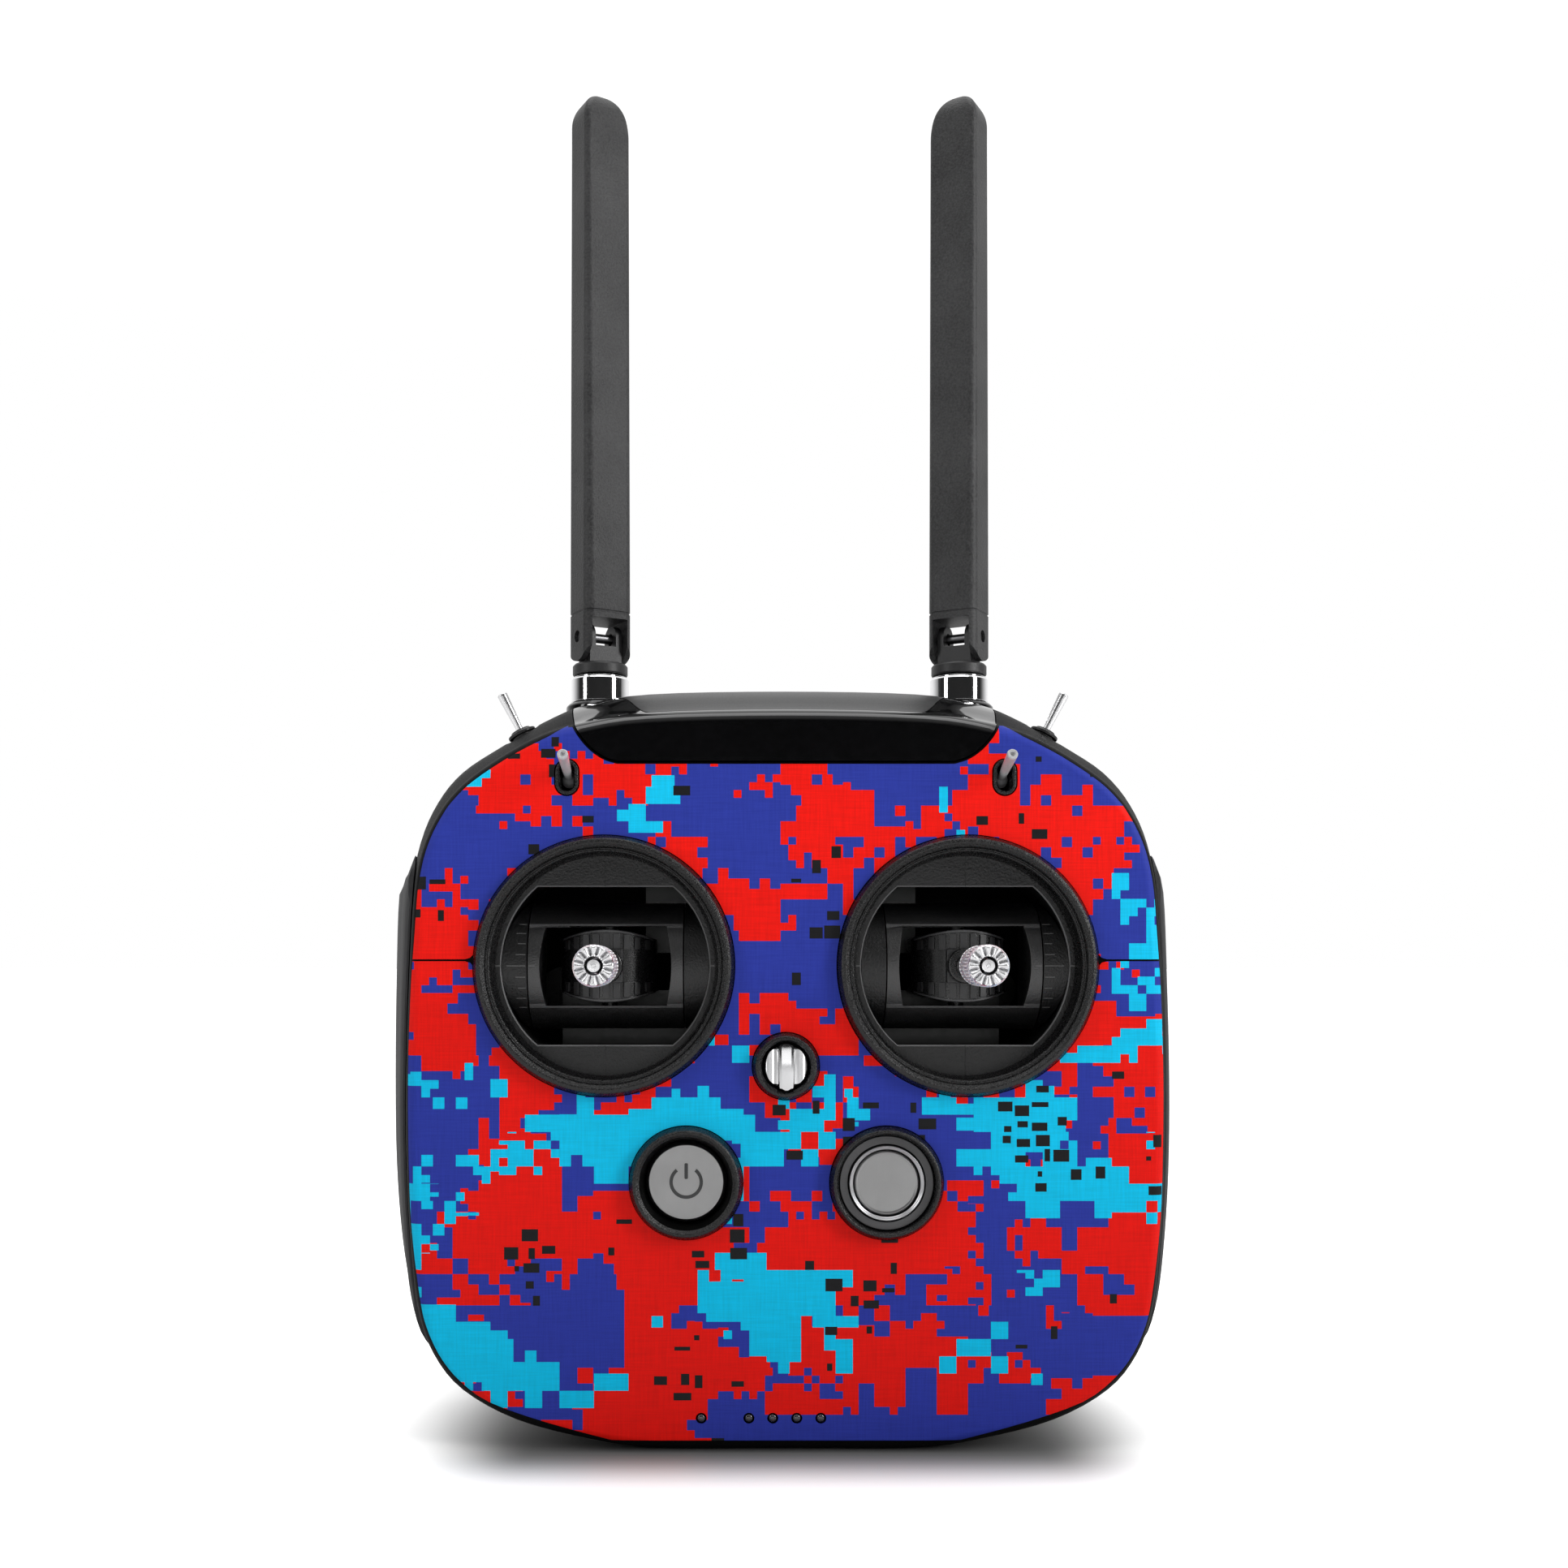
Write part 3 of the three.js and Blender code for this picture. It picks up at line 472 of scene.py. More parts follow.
# ---------------------------------------------------------------- materials
def camo_material():
    """digital camouflage print on linen-textured vinyl: square cells in three sizes, large stretched patches"""
    k = Mat("vinyl_print")
    x, _, z = k.split(k.vec("MULTIPLY", k.co, (1000.0, 1000.0, 1000.0)))

    def cells(B, ox, oz, a, b, key):
        """centre of the square cell a point is in; blocks of 2, 3 or 4 cells a side"""
        X, Z_ = k.math("ADD", x, ox), k.math("ADD", z, oz)
        fx, fz = k.math("FLOOR", k.math("DIVIDE", X, B * 2)), k.math("FLOOR", k.math("DIVIDE", Z_, B))
        pick = k.white(k.xyz(fx, key, fz))
        per = k.math("ADD", 2.0, k.math("ADD", k.math("GREATER_THAN", pick, a), k.math("GREATER_THAN", pick, b)))
        cell = k.math("DIVIDE", B, per)
        cx = k.math("MULTIPLY", k.math("ADD", k.math("FLOOR", k.math("DIVIDE", X, cell)), 0.5), cell)
        cz = k.math("MULTIPLY", k.math("ADD", k.math("FLOOR", k.math("DIVIDE", Z_, cell)), 0.5), cell)
        return cx, cz

    rx_, rz_ = cells(7.6, 1.3, 2.1, 0.30, 0.72, 3.7)
    qx_, qz_ = cells(8.4, 4.7, 5.9, 0.34, 0.70, 8.3)
    jr = k.math("SUBTRACT", k.white(k.xyz(rx_, 11.0, rz_)), 0.5)
    jc = k.math("SUBTRACT", k.white(k.xyz(qx_, 23.0, qz_)), 0.5)
    n1 = k.noise(k.vec("ADD", k.xyz(k.math("MULTIPLY", rx_, 0.62), 0.0, rz_), (214.0, 0.0, 77.0)), 0.042, 3.0, 0.60)
    n2 = k.noise(k.vec("ADD", k.xyz(k.math("MULTIPLY", qx_, 0.58), 0.0, qz_), (-530.0, 140.0, 310.0)), 0.040, 3.0, 0.60)
    low = k.range(k.math("ABSOLUTE", k.math("SUBTRACT", z, 80.0)), 0.0, 44.0, 0.066, -0.026)
    foot = k.range(z, 22.0, 62.0, 0.040, -0.006)
    red = k.math("GREATER_THAN", k.math("ADD", k.math("ADD", n1, foot), k.math("MULTIPLY", jr, 0.090)), 0.510)
    cyan = k.math("GREATER_THAN", k.math("ADD", k.math("ADD", n2, low), k.math("MULTIPLY", jc, 0.090)), 0.574)
    # black rectangles on their own lattice, gathered in some places
    LX, LZ = 4.6, 3.9
    gx, gz_ = k.math("DIVIDE", x, LX), k.math("DIVIDE", z, LZ)
    ix, iz = k.math("FLOOR", gx), k.math("FLOOR", gz_)
    ux, uz = k.math("SUBTRACT", gx, ix), k.math("SUBTRACT", gz_, iz)
    w = k.white(k.xyz(ix, 5.0, iz))
    wx, wz, px_, pz_ = (k.white(k.xyz(ix, q, iz)) for q in (7.0, 13.0, 17.0, 29.0))
    hx = k.range(wx, 0.0, 1.0, 0.12, 0.48)
    hz = k.range(wz, 0.0, 1.0, 0.12, 0.42)
    ox_ = k.math("ADD", hx, k.math("MULTIPLY", px_, k.math("SUBTRACT", 1.0, k.math("MULTIPLY", hx, 2.0))))
    oz_ = k.math("ADD", hz, k.math("MULTIPLY", pz_, k.math("SUBTRACT", 1.0, k.math("MULTIPLY", hz, 2.0))))
    inside = k.math("MULTIPLY", k.math("LESS_THAN", k.math("ABSOLUTE", k.math("SUBTRACT", ux, ox_)), hx), k.math("LESS_THAN", k.math("ABSOLUTE", k.math("SUBTRACT", uz, oz_)), hz))
    gather = k.noise(k.vec("ADD", k.xyz(ix, 0.0, iz), (31.0, 0.0, 9.0)), 0.13, 1.0, 0.5)
    few = k.math("GREATER_THAN", w, k.range(gather, 0.57, 0.72, 0.984, 0.40))
    black = k.math("MULTIPLY", few, inside)
    # painted shade: each print colour is mixed from a darker tone at the bottom to a brighter one at the top
    painted_shade_by_height = k.range(z, 20.0, 150.0, 0.0, 1.0)
    c_red = k.mix(painted_shade_by_height, (0.60, 0.0045, 0.0020, 1), (0.80, 0.0075, 0.0035, 1))
    c_cyan = k.mix(painted_shade_by_height, (0.0004, 0.40, 0.63, 1), (0.0050, 0.52, 0.81, 1))
    c_blue = k.mix(painted_shade_by_height, (0.018, 0.030, 0.26, 1), (0.023, 0.039, 0.31, 1))
    col = k.mix(red, c_blue, c_red)
    col = k.mix(cyan, col, c_cyan)
    col = k.mix(black, col, (0.010, 0.010, 0.011, 1))
    # linen threads: two stretched grains
    th = k.noise(k.xyz(k.math("MULTIPLY", x, 0.10), 0.0, k.math("MULTIPLY", z, 2.4)), 1.0, 2.0, 0.6)
    tv = k.noise(k.xyz(k.math("MULTIPLY", x, 2.4), 9.0, k.math("MULTIPLY", z, 0.10)), 1.0, 2.0, 0.6)
    weave = k.math("MULTIPLY", k.math("ADD", th, tv), 0.5)
    lum = k.range(weave, 0.36, 0.64, 0.88, 1.10)
    col = k.mix(1.0, col, k.xyz(lum, lum, lum), "MULTIPLY")
    k.set(Base_Color=col, Roughness=k.range(weave, 0.35, 0.65, 0.50, 0.60), Specular_IOR_Level=0.10)
    k.bump(weave, 0.00002, 0.5)
    return k.m


M_camo = camo_material()
M_shell = moulded("shell_satin", (0.0026, 0.0026, 0.0028, 1), (0.0070, 0.0070, 0.0074, 1), 0.50, 0.00045, 0.00006, spec=0.04)
M_gloss = moulded("cover_gloss", (0.0016, 0.0016, 0.0018, 1), (0.0026, 0.0026, 0.003, 1), 0.08, 0.002, 0.0000012, spec=0.38, spread=0.02, coat=0.12)
M_crest = moulded("cover_satin", (0.014, 0.014, 0.0145, 1), (0.024, 0.024, 0.025, 1), 0.42, 0.00030, 0.000012, spec=0.27)
M_grip = moulded("grip_rubber", (0.018, 0.018, 0.019, 1), (0.040, 0.040, 0.042, 1), 0.62, 0.0006, 0.00008, spec=0.22, stretch=(1.0, 1.0, 0.12))
M_bezel = moulded("bezel_grained", (0.0004, 0.0004, 0.0005, 1), (0.0026, 0.0026, 0.0028, 1), 0.25, 0.00040, 0.00018, spec=0.44)
M_well = moulded("gimbal_satin", (0.0008, 0.0008, 0.0009, 1), (0.0055, 0.0055, 0.0058, 1), 0.36, 0.00055, 0.00018, spec=0.45)
M_yoke = moulded("yoke_satin", (0.0020, 0.0020, 0.0021, 1), (0.0090, 0.0090, 0.0095, 1), 0.38, 0.00045, 0.00012, spec=0.9)
M_drum = moulded("gimbal_inner", (0.0012, 0.0012, 0.0013, 1), (0.0045, 0.0045, 0.005, 1), 0.28, 0.00025, 0.00002, spec=0.55)
M_mark = moulded("mark_grey", (0.07, 0.07, 0.07, 1), (0.11, 0.11, 0.11, 1), 0.5, 0.0002, 0.00001)
M_alu = metal("turned_aluminium", (0.74, 0.74, 0.75, 1), 0.30, spread=0.06)
M_chrome = metal("chrome_plate", (0.86, 0.86, 0.87, 1), 0.07, spread=0.025, depth=0.000001)
M_knob = metal("knob_chrome", (0.64, 0.64, 0.65, 1), 0.12, spread=0.03, depth=0.000001)
M_lever = metal("lever_satin", (0.84, 0.84, 0.85, 1), 0.24, brushed=(6.0, 6.0, 6.0))
M_brushed = metal("button_brushed", (0.285, 0.285, 0.285, 1), 0.36, brushed=(1.0, 1.0, 0.04), depth=0.000008, scale=5000.0)
M_ring = metal("ring_satin", (0.42, 0.42, 0.43, 1), 0.34, spread=0.04)
M_collar = moulded("collar_grey", (0.055, 0.055, 0.057, 1), (0.075, 0.075, 0.078, 1), 0.4, 0.0002, 0.00001)
M_symbol = moulded("symbol_grey", (0.020, 0.020, 0.021, 1), (0.030, 0.030, 0.031, 1), 0.5, 0.0002, 0.00001)
M_led = moulded("led_lens", (0.014, 0.013, 0.016, 1), (0.035, 0.033, 0.04, 1), 0.16, 0.0006, 0.000004, coat=0.6)
M_control = moulded("control_plastic", (0.005, 0.005, 0.0055, 1), (0.013, 0.013, 0.0135, 1), 0.40, 0.0004, 0.00005, spec=0.4)
M_antenna = moulded("antenna_grained", (0.010, 0.010, 0.0105, 1), (0.046, 0.046, 0.047, 1), 0.50, 0.00055, 0.00016, spec=0.35)
M_fork = moulded("fork_plastic", (0.006, 0.006, 0.0065, 1), (0.016, 0.016, 0.017, 1), 0.46, 0.00030, 0.00004)
M_pin = metal("pin_steel", (0.16, 0.16, 0.165, 1), 0.35, brushed=(4.0, 1.0, 1.0))
# painted highlight: a light grey laid on window chamfer faces in place of the glint along those edges
M_edge_highlight = moulded("painted_edge_highlight", (0.050, 0.050, 0.051, 1), (0.10, 0.10, 0.102, 1), 0.4, 0.0003, 0.00001)
# painted highlight: the ribs are a lighter grey than the drum, standing in for the light on their edges; the stick's
# square foot shares this colour
M_rib = moulded("drum_ribs", (0.006, 0.006, 0.0065, 1), (0.014, 0.014, 0.015, 1), 0.36, 0.0003, 0.00002, spec=0.6)
# painted highlight: lighter grey for the drum's rim strips, standing in for the bright arcs along its edges
M_rim_highlight = moulded("drum_rim_painted_highlight", (0.030, 0.030, 0.031, 1), (0.060, 0.060, 0.062, 1), 0.35, 0.0003, 0.00001)
# painted shade: near-black with little specular, for the inner faces of a recess where shade falls
M_recess_shade = moulded("recess_painted_shade", (0.0003, 0.0003, 0.0003, 1), (0.0006, 0.0006, 0.0006, 1), 0.5, 0.0004, 0.00002, spec=0.04)
M_knurl = metal("knurled_aluminium", (0.90, 0.90, 0.91, 1), 0.52, spread=0.06)
M_tlever = moulded("lever_plated", (0.36, 0.36, 0.37, 1), (0.50, 0.50, 0.51, 1), 0.22, 0.0002, 0.000004, spec=1.0)
M_board = moulded("circuit_board", (0.003, 0.005, 0.004, 1), (0.006, 0.010, 0.008, 1), 0.35, 0.0009, 0.00002)
M_battery = moulded("battery_wrap", (0.03, 0.05, 0.09, 1), (0.05, 0.08, 0.13, 1), 0.3, 0.0016, 0.00003)

# ---------------------------------------------------------------- the casing's shape
FACE_Y, SPLIT_Y = -30.6, 2.0
FRONT = [(0, 181.6), (34, 180.8), (50, 178.4), (60, 175.4), (70, 170.0), (79.2, 163.4), (85.2, 156.2), (89.4, 147.0), (91.4, 136.5),
         (92.6, 116.5), (93.4, 90), (93.2, 66.9), (92.0, 46.8), (90.3, 33.5), (86.6, 23.0), (79.4, 14.2), (66, 6.8), (48, 2.1), (32, 0), (0, 0)]
MID = [(0, 189.5), (34, 188.8), (50, 186.2), (61, 181.6), (72, 175.2), (82.2, 168.5), (88.6, 160.7), (93.0, 150.6), (95.2, 137.0),
       (95.9, 116.5), (96.2, 90), (95.9, 66.9), (94.4, 46.8), (91.9, 33.0), (87.4, 22.4), (79.6, 14.0), (66, 6.8), (48, 2.1), (32, 0), (0, 0)]
SKIN = [(57.7, 174.5), (65.5, 170.5), (72, 166.5), (77.5, 162.5), (81.3, 158.6), (83.1, 156.2), (85.9, 151.2), (87.8, 146.3), (89, 141.3), (89.8, 136.4), (90.5, 126.4),
        (91.3, 116.5), (91.8, 106.6), (92.1, 96.7), (92.2, 86.8), (92.1, 76.8), (91.9, 66.9), (91.5, 57), (90.5, 47.1), (89.1, 37.2), (88.1, 32.2), (86.2, 27.2),
        (83.5, 22.3), (79.2, 17.3), (72.3, 12.3), (58.3, 7.4), (42.5, 3.0)]
COVER = [(41, 168.4), (44.3, 169.5), (47.6, 171.9), (50.3, 175.2), (52, 178.6), (53.5, 184), (54, 200)]
REAR = [(0, 1, 0, 0), (9, 1, 0, 0), (14, 0.982, 0, 1.0), (19, 0.957, 0, 2.6), (22.2, 0.928, 0.6, 5.0), (25, 0.895, 1.4, 8), (27.2, 0.86, 3.6, 11.6), (28.8, 0.82, 6.5, 16), (29.7, 0.78, 9.2, 20.5), (30, 0.74, 12, 25)]
FRONT_W = [(-26, 0), (-21.5, 0.34), (-17, 0.65), (-11.5, 0.90), (-6, 1), (0, 1)]


def interp(table, y):
    if y <= table[0][0]:
        return list(table[0][1:])
    for a, b in zip(table, table[1:]):
        if y <= b[0]:
            t = (y - a[0]) / (b[0] - a[0])
            return [lerp(p, q, t) for p, q in zip(a[1:], b[1:])]
    return list(table[-1][1:])


def mirrored(half):
    return half + [(-x, z) for x, z in reversed(half[1:-1])]


K = 4
half_cache = {}


def section(y, d=0.0):
    w = interp(FRONT_W, y)[0]
    if w not in half_cache:
        half = [(lerp(a[0], b[0], w), lerp(a[1], b[1], w)) for a, b in zip(FRONT, MID)]
        # the ends meet their mirror image square on, so the curve runs flat there
        ext = [(-half[1][0], half[1][1])] + half + [(-half[-2][0], half[-2][1])]
        fine = catmull(ext, K)[K:-K]
        half_cache[w] = fine
    ring = mirrored(half_cache[w])
    if y > 0:
        sx, zb, dr = interp(REAR, y)
        ring = [(x * sx, zb + z * (189.5 - dr - zb) / 189.5) for x, z in ring]
    if d:
        ring = grow(ring, d)
    return ring


def at(ring, y):
    return [(x, y, z) for x, z in ring]


def edge_rings(dy=0.0, d=0.0):
    """rounded front edge: quarter of an ellipse 3.6 wide and 4.6 deep"""
    out = []
    for i in range(10):
        a = PI / 2 * i / 9
        out.append(at(section(-26, -3.6 * (1 - math.sin(a)) + d), -30.6 + 4.6 * (1 - math.cos(a)) + dy))
    return out


MID_YS = [-24, -21.5, -19, -17, -14, -11.5, -8.5, -6, -3, 0]


def swell(x, y, z):
    """the two hand rests on the back"""
    if y < 13:
        return y
    px, pz = (abs(x) - 58) / 33, (z - 80) / 66
    p = math.sqrt(px * px + pz * pz)
    if p >= 1:
        return y
    return y + 9.6 * math.cos(PI / 2 * p) ** 2 * smooth(13, 26, y)


def body_rings(dy=0.0):
    rings = edge_rings(dy) + [at(section(y), y) for y in MID_YS]
    for y in (4.5, 9, 11.5, 14, 16.5, 19, 20.6, 22.2, 23.6, 25, 26.2, 27.2, 28.1, 28.8, 29.3, 29.7, 30):
        rings.append(at(section(y), y))
    last = rings[-1]
    for f in (0.95, 0.89, 0.83, 0.77, 0.71, 0.65, 0.59, 0.53, 0.47, 0.41, 0.35, 0.29, 0.23, 0.17, 0.11):
        rings.append([(x * f, y, 95 + (z - 95) * f) for x, y, z in last])
    return [[(x, swell(x, y, z), z) for x, y, z in r] for r in rings]


body = loft(body_rings())
body_forward = loft(body_rings(-1.0))
cav = [(-28.2, -5.2, -26), (-26, -2.6, -26), (-17, -2.3, -17), (-6, -2.3, -6), (0, -2.3, 0), (9, -2.3, 9), (18, -2.3, 19), (23.4, -2.3, 25), (26.8, -2.3, 28.8), (27.6, -2.3, 30)]
cavity = loft([at(section(s, d), y) for y, d, s in cav])


def ring_xz(half, g=0.0):
    ring = half + [(-x, z) for x, z in reversed(half) if x > 0]
    return grow(ring, g) if g else ring


cover_half = [(0, 168.4), (20, 168.4)] + catmull(COVER[:-1], 5) + [(54, 200)]
cover_ring = ring_xz(cover_half)

GX, GZ = 44.3, 118.5
MODE_Z, PX, HX, BZ = 94.1, -24.3, 24.5, 65.7
LED_X, LED_Z = (-20.6, -9.0, -3.2, 2.65, 8.5), 8.4
TX, TZ = 53.3, 164.4
AX, AY, FOLD_Z = 48.8, 14.0, 207.5
SHOULDER = (66.4, -12, 177.2)
DIAL = (65.7, 12.2, 168.4)
btn = Vector((0.72, 0, 0.69)).normalized()


def shoulder_dir(s):
    return (s * math.sin(rad(27)), 0, math.cos(rad(27)))


def obround(x, z, w, h, seg=16):
    r, s = w / 2, h / 2 - w / 2
    return [(x + r * math.cos(PI * i / seg), z + s + r * math.sin(PI * i / seg)) for i in range(seg + 1)] + \
           [(x - r * math.cos(PI * i / seg), z - s - r * math.sin(PI * i / seg)) for i in range(seg + 1)]


def shoulder_at(s, y=9.0):
    return axis_dir((s * 84.2, y, 165.9), (s * btn.x, 0, btn.z))


# front casing
fs = copy(body)
cutters = [copy(cavity), box(-130, 130, SPLIT_Y, 60, -20, 230), prism(grow(cover_ring, 0.3), [(-40, 0), (22, 0)])]
cutters += [cyl(axis_z(s * AX, AY), 9.6, 177.9, 205) for s in (-1, 1)]
cutters += [cyl(axis_y(s * GX, GZ), 28.9, -36, -20, 128) for s in (-1, 1)]
cutters += [cyl(axis_y(0, MODE_Z), 5.75, -36, -20, 64), cyl(axis_y(PX, BZ), 11.65, -36, -20, 96), cyl(axis_y(HX, BZ), 9.6, -36, -20, 96)]
cutters += [cyl(axis_y(x, LED_Z), 1.4, -36, -20, 32) for x in LED_X]
cutters += [prism(obround(s * TX, TZ, 6.3, 9.3), [(-36, 0), (-20, 0)]) for s in (-1, 1)]
for s in (-1, 1):
    cutters.append(lathe([(0, -9), (3.2, -9), (3.2, -0.9), (4.9, -0.9), (4.9, 8), (0, 8)], axis_dir((s * SHOULDER[0], SHOULDER[1], SHOULDER[2]), shoulder_dir(s)), 48))
boolean(fs, cutters)
finish_piece(fs, "front_casing", "root", "front_shell", M_shell, 30)

# rear casing
rs = copy(body)
cutters = [copy(cavity), box(-130, 130, -60, SPLIT_Y + 0.3, -20, 230), prism(grow(cover_ring, 0.3), [(-40, 0), (22, 0)])]
cutters += [cyl(axis_z(s * AX, AY), 9.6, 177.9, 205) for s in (-1, 1)]
cutters += [cyl(shoulder_at(s), 5.45, -8, 6, 64) for s in (-1, 1)]
cutters += [cyl(axis_y(s * DIAL[0], DIAL[2]), 11.2, DIAL[1] - 4.1, DIAL[1] + 4.1, 96) for s in (-1, 1)]
cutters += [box(-24.3, 24.3, 24, 34, 49.7, 66.3)]
cutters += [cyl(axis_y(s * 60, 112), 5.4, 20, 50, 64) for s in (-1, 1)]
SCREWS = [(s * x, z) for s in (-1, 1) for x, z in ((34, 150), (30, 27), (26, 92))]
cutters += [lathe([(0, 24.6), (2.7, 24.6), (2.7, 29.6), (3.1, 30.4), (3.1, 40), (0, 40)], axis_y(x, z), 40) for x, z in SCREWS]
# shallow grip lines across the middle of the back
cutters += [box(-22, 22, 29.55, 34, z - 0.45, z + 0.45) for z in (112, 116, 120, 124, 128)]
boolean(rs, cutters)
finish_piece(rs, "rear_casing", "root", "rear_shell", M_shell, 30)
scr = []
for x, z in SCREWS:
    head = lathe(rnd([(0, 24.9), (3.5, 24.9), (3.5, 27.2), (2.4, 27.2), (2.4, 28.3, 0.4), (1.6, 28.9, 0.3), (0, 28.9)]), axis_y(x, z), 32)
    cross = [box(x - 1.3, x + 1.3, 27.9, 30, z - 0.28, z + 0.28), box(x - 0.28, x + 0.28, 27.9, 30, z - 1.3, z + 1.3)]
    scr.append(boolean(head, cross))
finish_piece(join(scr), "rear_screws", "root", None, M_pin)

# printed skin
outline = catmull(SKIN, 3)
skin_ring = outline + [(-x, z) for x, z in reversed(outline)] + [(-53.4, 177.3), (53.4, 177.3)]
skin = copy(body, (0, -0.8, 0))
boolean(skin, [copy(body, (0, -0.3, 0))])
boolean(skin, [prism(skin_ring, [(-40, 0), (-26.6, 0)])], "INTERSECT")
cutters = [prism(grow(cover_ring, 0.75), [(-40, 0), (0, 0)])]
cutters += [cyl(axis_y(s * GX, GZ), 32.0, -36, -20, 128) for s in (-1, 1)]
cutters += [cyl(axis_y(0, MODE_Z), 8.35, -36, -20, 64), cyl(axis_y(PX, BZ), 14.0, -36, -20, 96), cyl(axis_y(HX, BZ), 14.0, -36, -20, 96)]
cutters += [cyl(axis_y(x, LED_Z), 1.35, -36, -20, 32) for x in LED_X]
cutters += [prism(obround(s * TX, TZ, 6.2, 9.2), [(-36, 0), (-20, 0)]) for s in (-1, 1)]
for s in (-1, 1):
    # a slit out from each ring, its corners rounded at both ends
    zc, hs = 119.87, 0.24
    flare = [(s * (95.0 - 0.25 * i), zc + hs + 3.2 * (1 - math.sin(PI / 2 * min(1, i / 12))) ) for i in range(13)]
    flare = [(s * 96, zc + hs + 3.2)] + flare + [(s * 78.2, zc + hs), (s * 76.9, zc + hs + 0.35), (s * 76.2, zc + hs + 1.1), (s * 75.9, zc + hs + 1.9), (s * 74, zc + hs + 1.9)]
    w = flare + [(x, 2 * zc - z) for x, z in reversed(flare)]
    cutters.append(prism(w, [(-40, 0), (-20, 0)]))
boolean(skin, cutters)
finish_piece(skin, "printed_skin", "root", "vinyl_skin", M_camo, 30)

# top cover: gloss front and corners, satin crest between the antennas
tc = copy(body_forward)
boolean(tc, [prism(cover_ring, [(-40, 0), (21.7, 0)])], "INTERSECT")
low = copy(body)
boolean(low, [prism(cover_ring, [(-40, 0), (21.7, 0)])], "INTERSECT")
boolean(tc, [low], "UNION")
boolean(tc, [copy(cavity)])
boss = []
for s in (-1, 1):
    prof = [(0, 178.2), (9.2, 178.2), (9.2, 179.4)]
    prof = rnd([(0, 178.2), (9.2, 178.2), (9.2, 188.6, 1.0), (8.4, 189.4, 0.4), (0, 189.4)])
    boss.append(lathe(prof, axis_z(s * AX, AY), 96))
boolean(tc, boss, "UNION")


def crest_line(x):
    a = abs(x)
    return 181.55 - 0.00055 * a * a + 6.4 * smooth(33.5, 42.0, a)


cl = [(x, crest_line(x)) for x in [i * 0.8 for i in range(-54, 55)]]
band = [(x, z - 0.16) for x, z in cl] + [(x, z + 0.16) for x, z in reversed(cl)]
groove = prism(band, [(-40, 0), (-9, 0)])
boolean(groove, [copy(body_forward, (0, 0.35, -0.25))])
boolean(tc, [groove])
me = tc.data
for p in me.polygons:
    c = p.center
    p.material_index = 1 if (c.z > crest_line(c.x) and c.y < 40 and abs(c.x) < 41 and (c.x - 0) ** 2 < 41 ** 2 and p.normal.z > 0.15) else 0
finish_piece(tc, "top_cover_gloss", "root", "top_cover", [M_gloss, M_crest], 28)

# side grips
gz = [(-24.4, 0.4), (-23.2, 1.1), (-21.5, 1.5), (-17, 1.75), (-12, 2.0), (-9, 2.65), (-6, 3.4), (-3, 4.15), (0, 4.9), (2.5, 5.5), (5, 6.1), (6.5, 6.5),
      (8, 6.8), (9.5, 6.8), (11, 6.6), (12.5, 6.1), (14, 5.4), (15.5, 4.3), (17, 3.0), (18.4, 1.6), (19.8, 0.4)]


def taper(z):
    return smooth(16, 30, z) * (1 - smooth(138, 147.5, z))


outer = loft([at(grow(section(y), lambda x, z, d=d: 0.45 + (d - 0.2) * taper(z)), y) for y, d in gz])
inner = loft(edge_rings(0.0, 0.3) + [at(section(y, 0.3), y) for y in MID_YS] + [at(section(y, 0.32), y) for y in (4.5, 9, 14, 19, 22, 25)])
boolean(outer, [inner])
zone = rnd([(-24.1, 36, 4), (-20.5, 24, 4), (-14, 20.5, 4), (10, 20, 4), (16, 22.5, 4), (19.4, 28, 4), (19.4, 137, 4), (15, 143.5, 4), (9, 146.5, 4), (-15, 146.5, 4), (-21, 143, 4), (-24.1, 134, 4)], True)
for s, nm in ((-1, "left"), (1, "right")):
    g = copy(outer)
    boolean(g, [prism_x(zone, *((-112, -60) if s < 0 else (60, 112)))], "INTERSECT")
    finish_piece(g, nm + "_grip_pad", "root", nm + "_grip", M_grip, 30)
drop(outer)

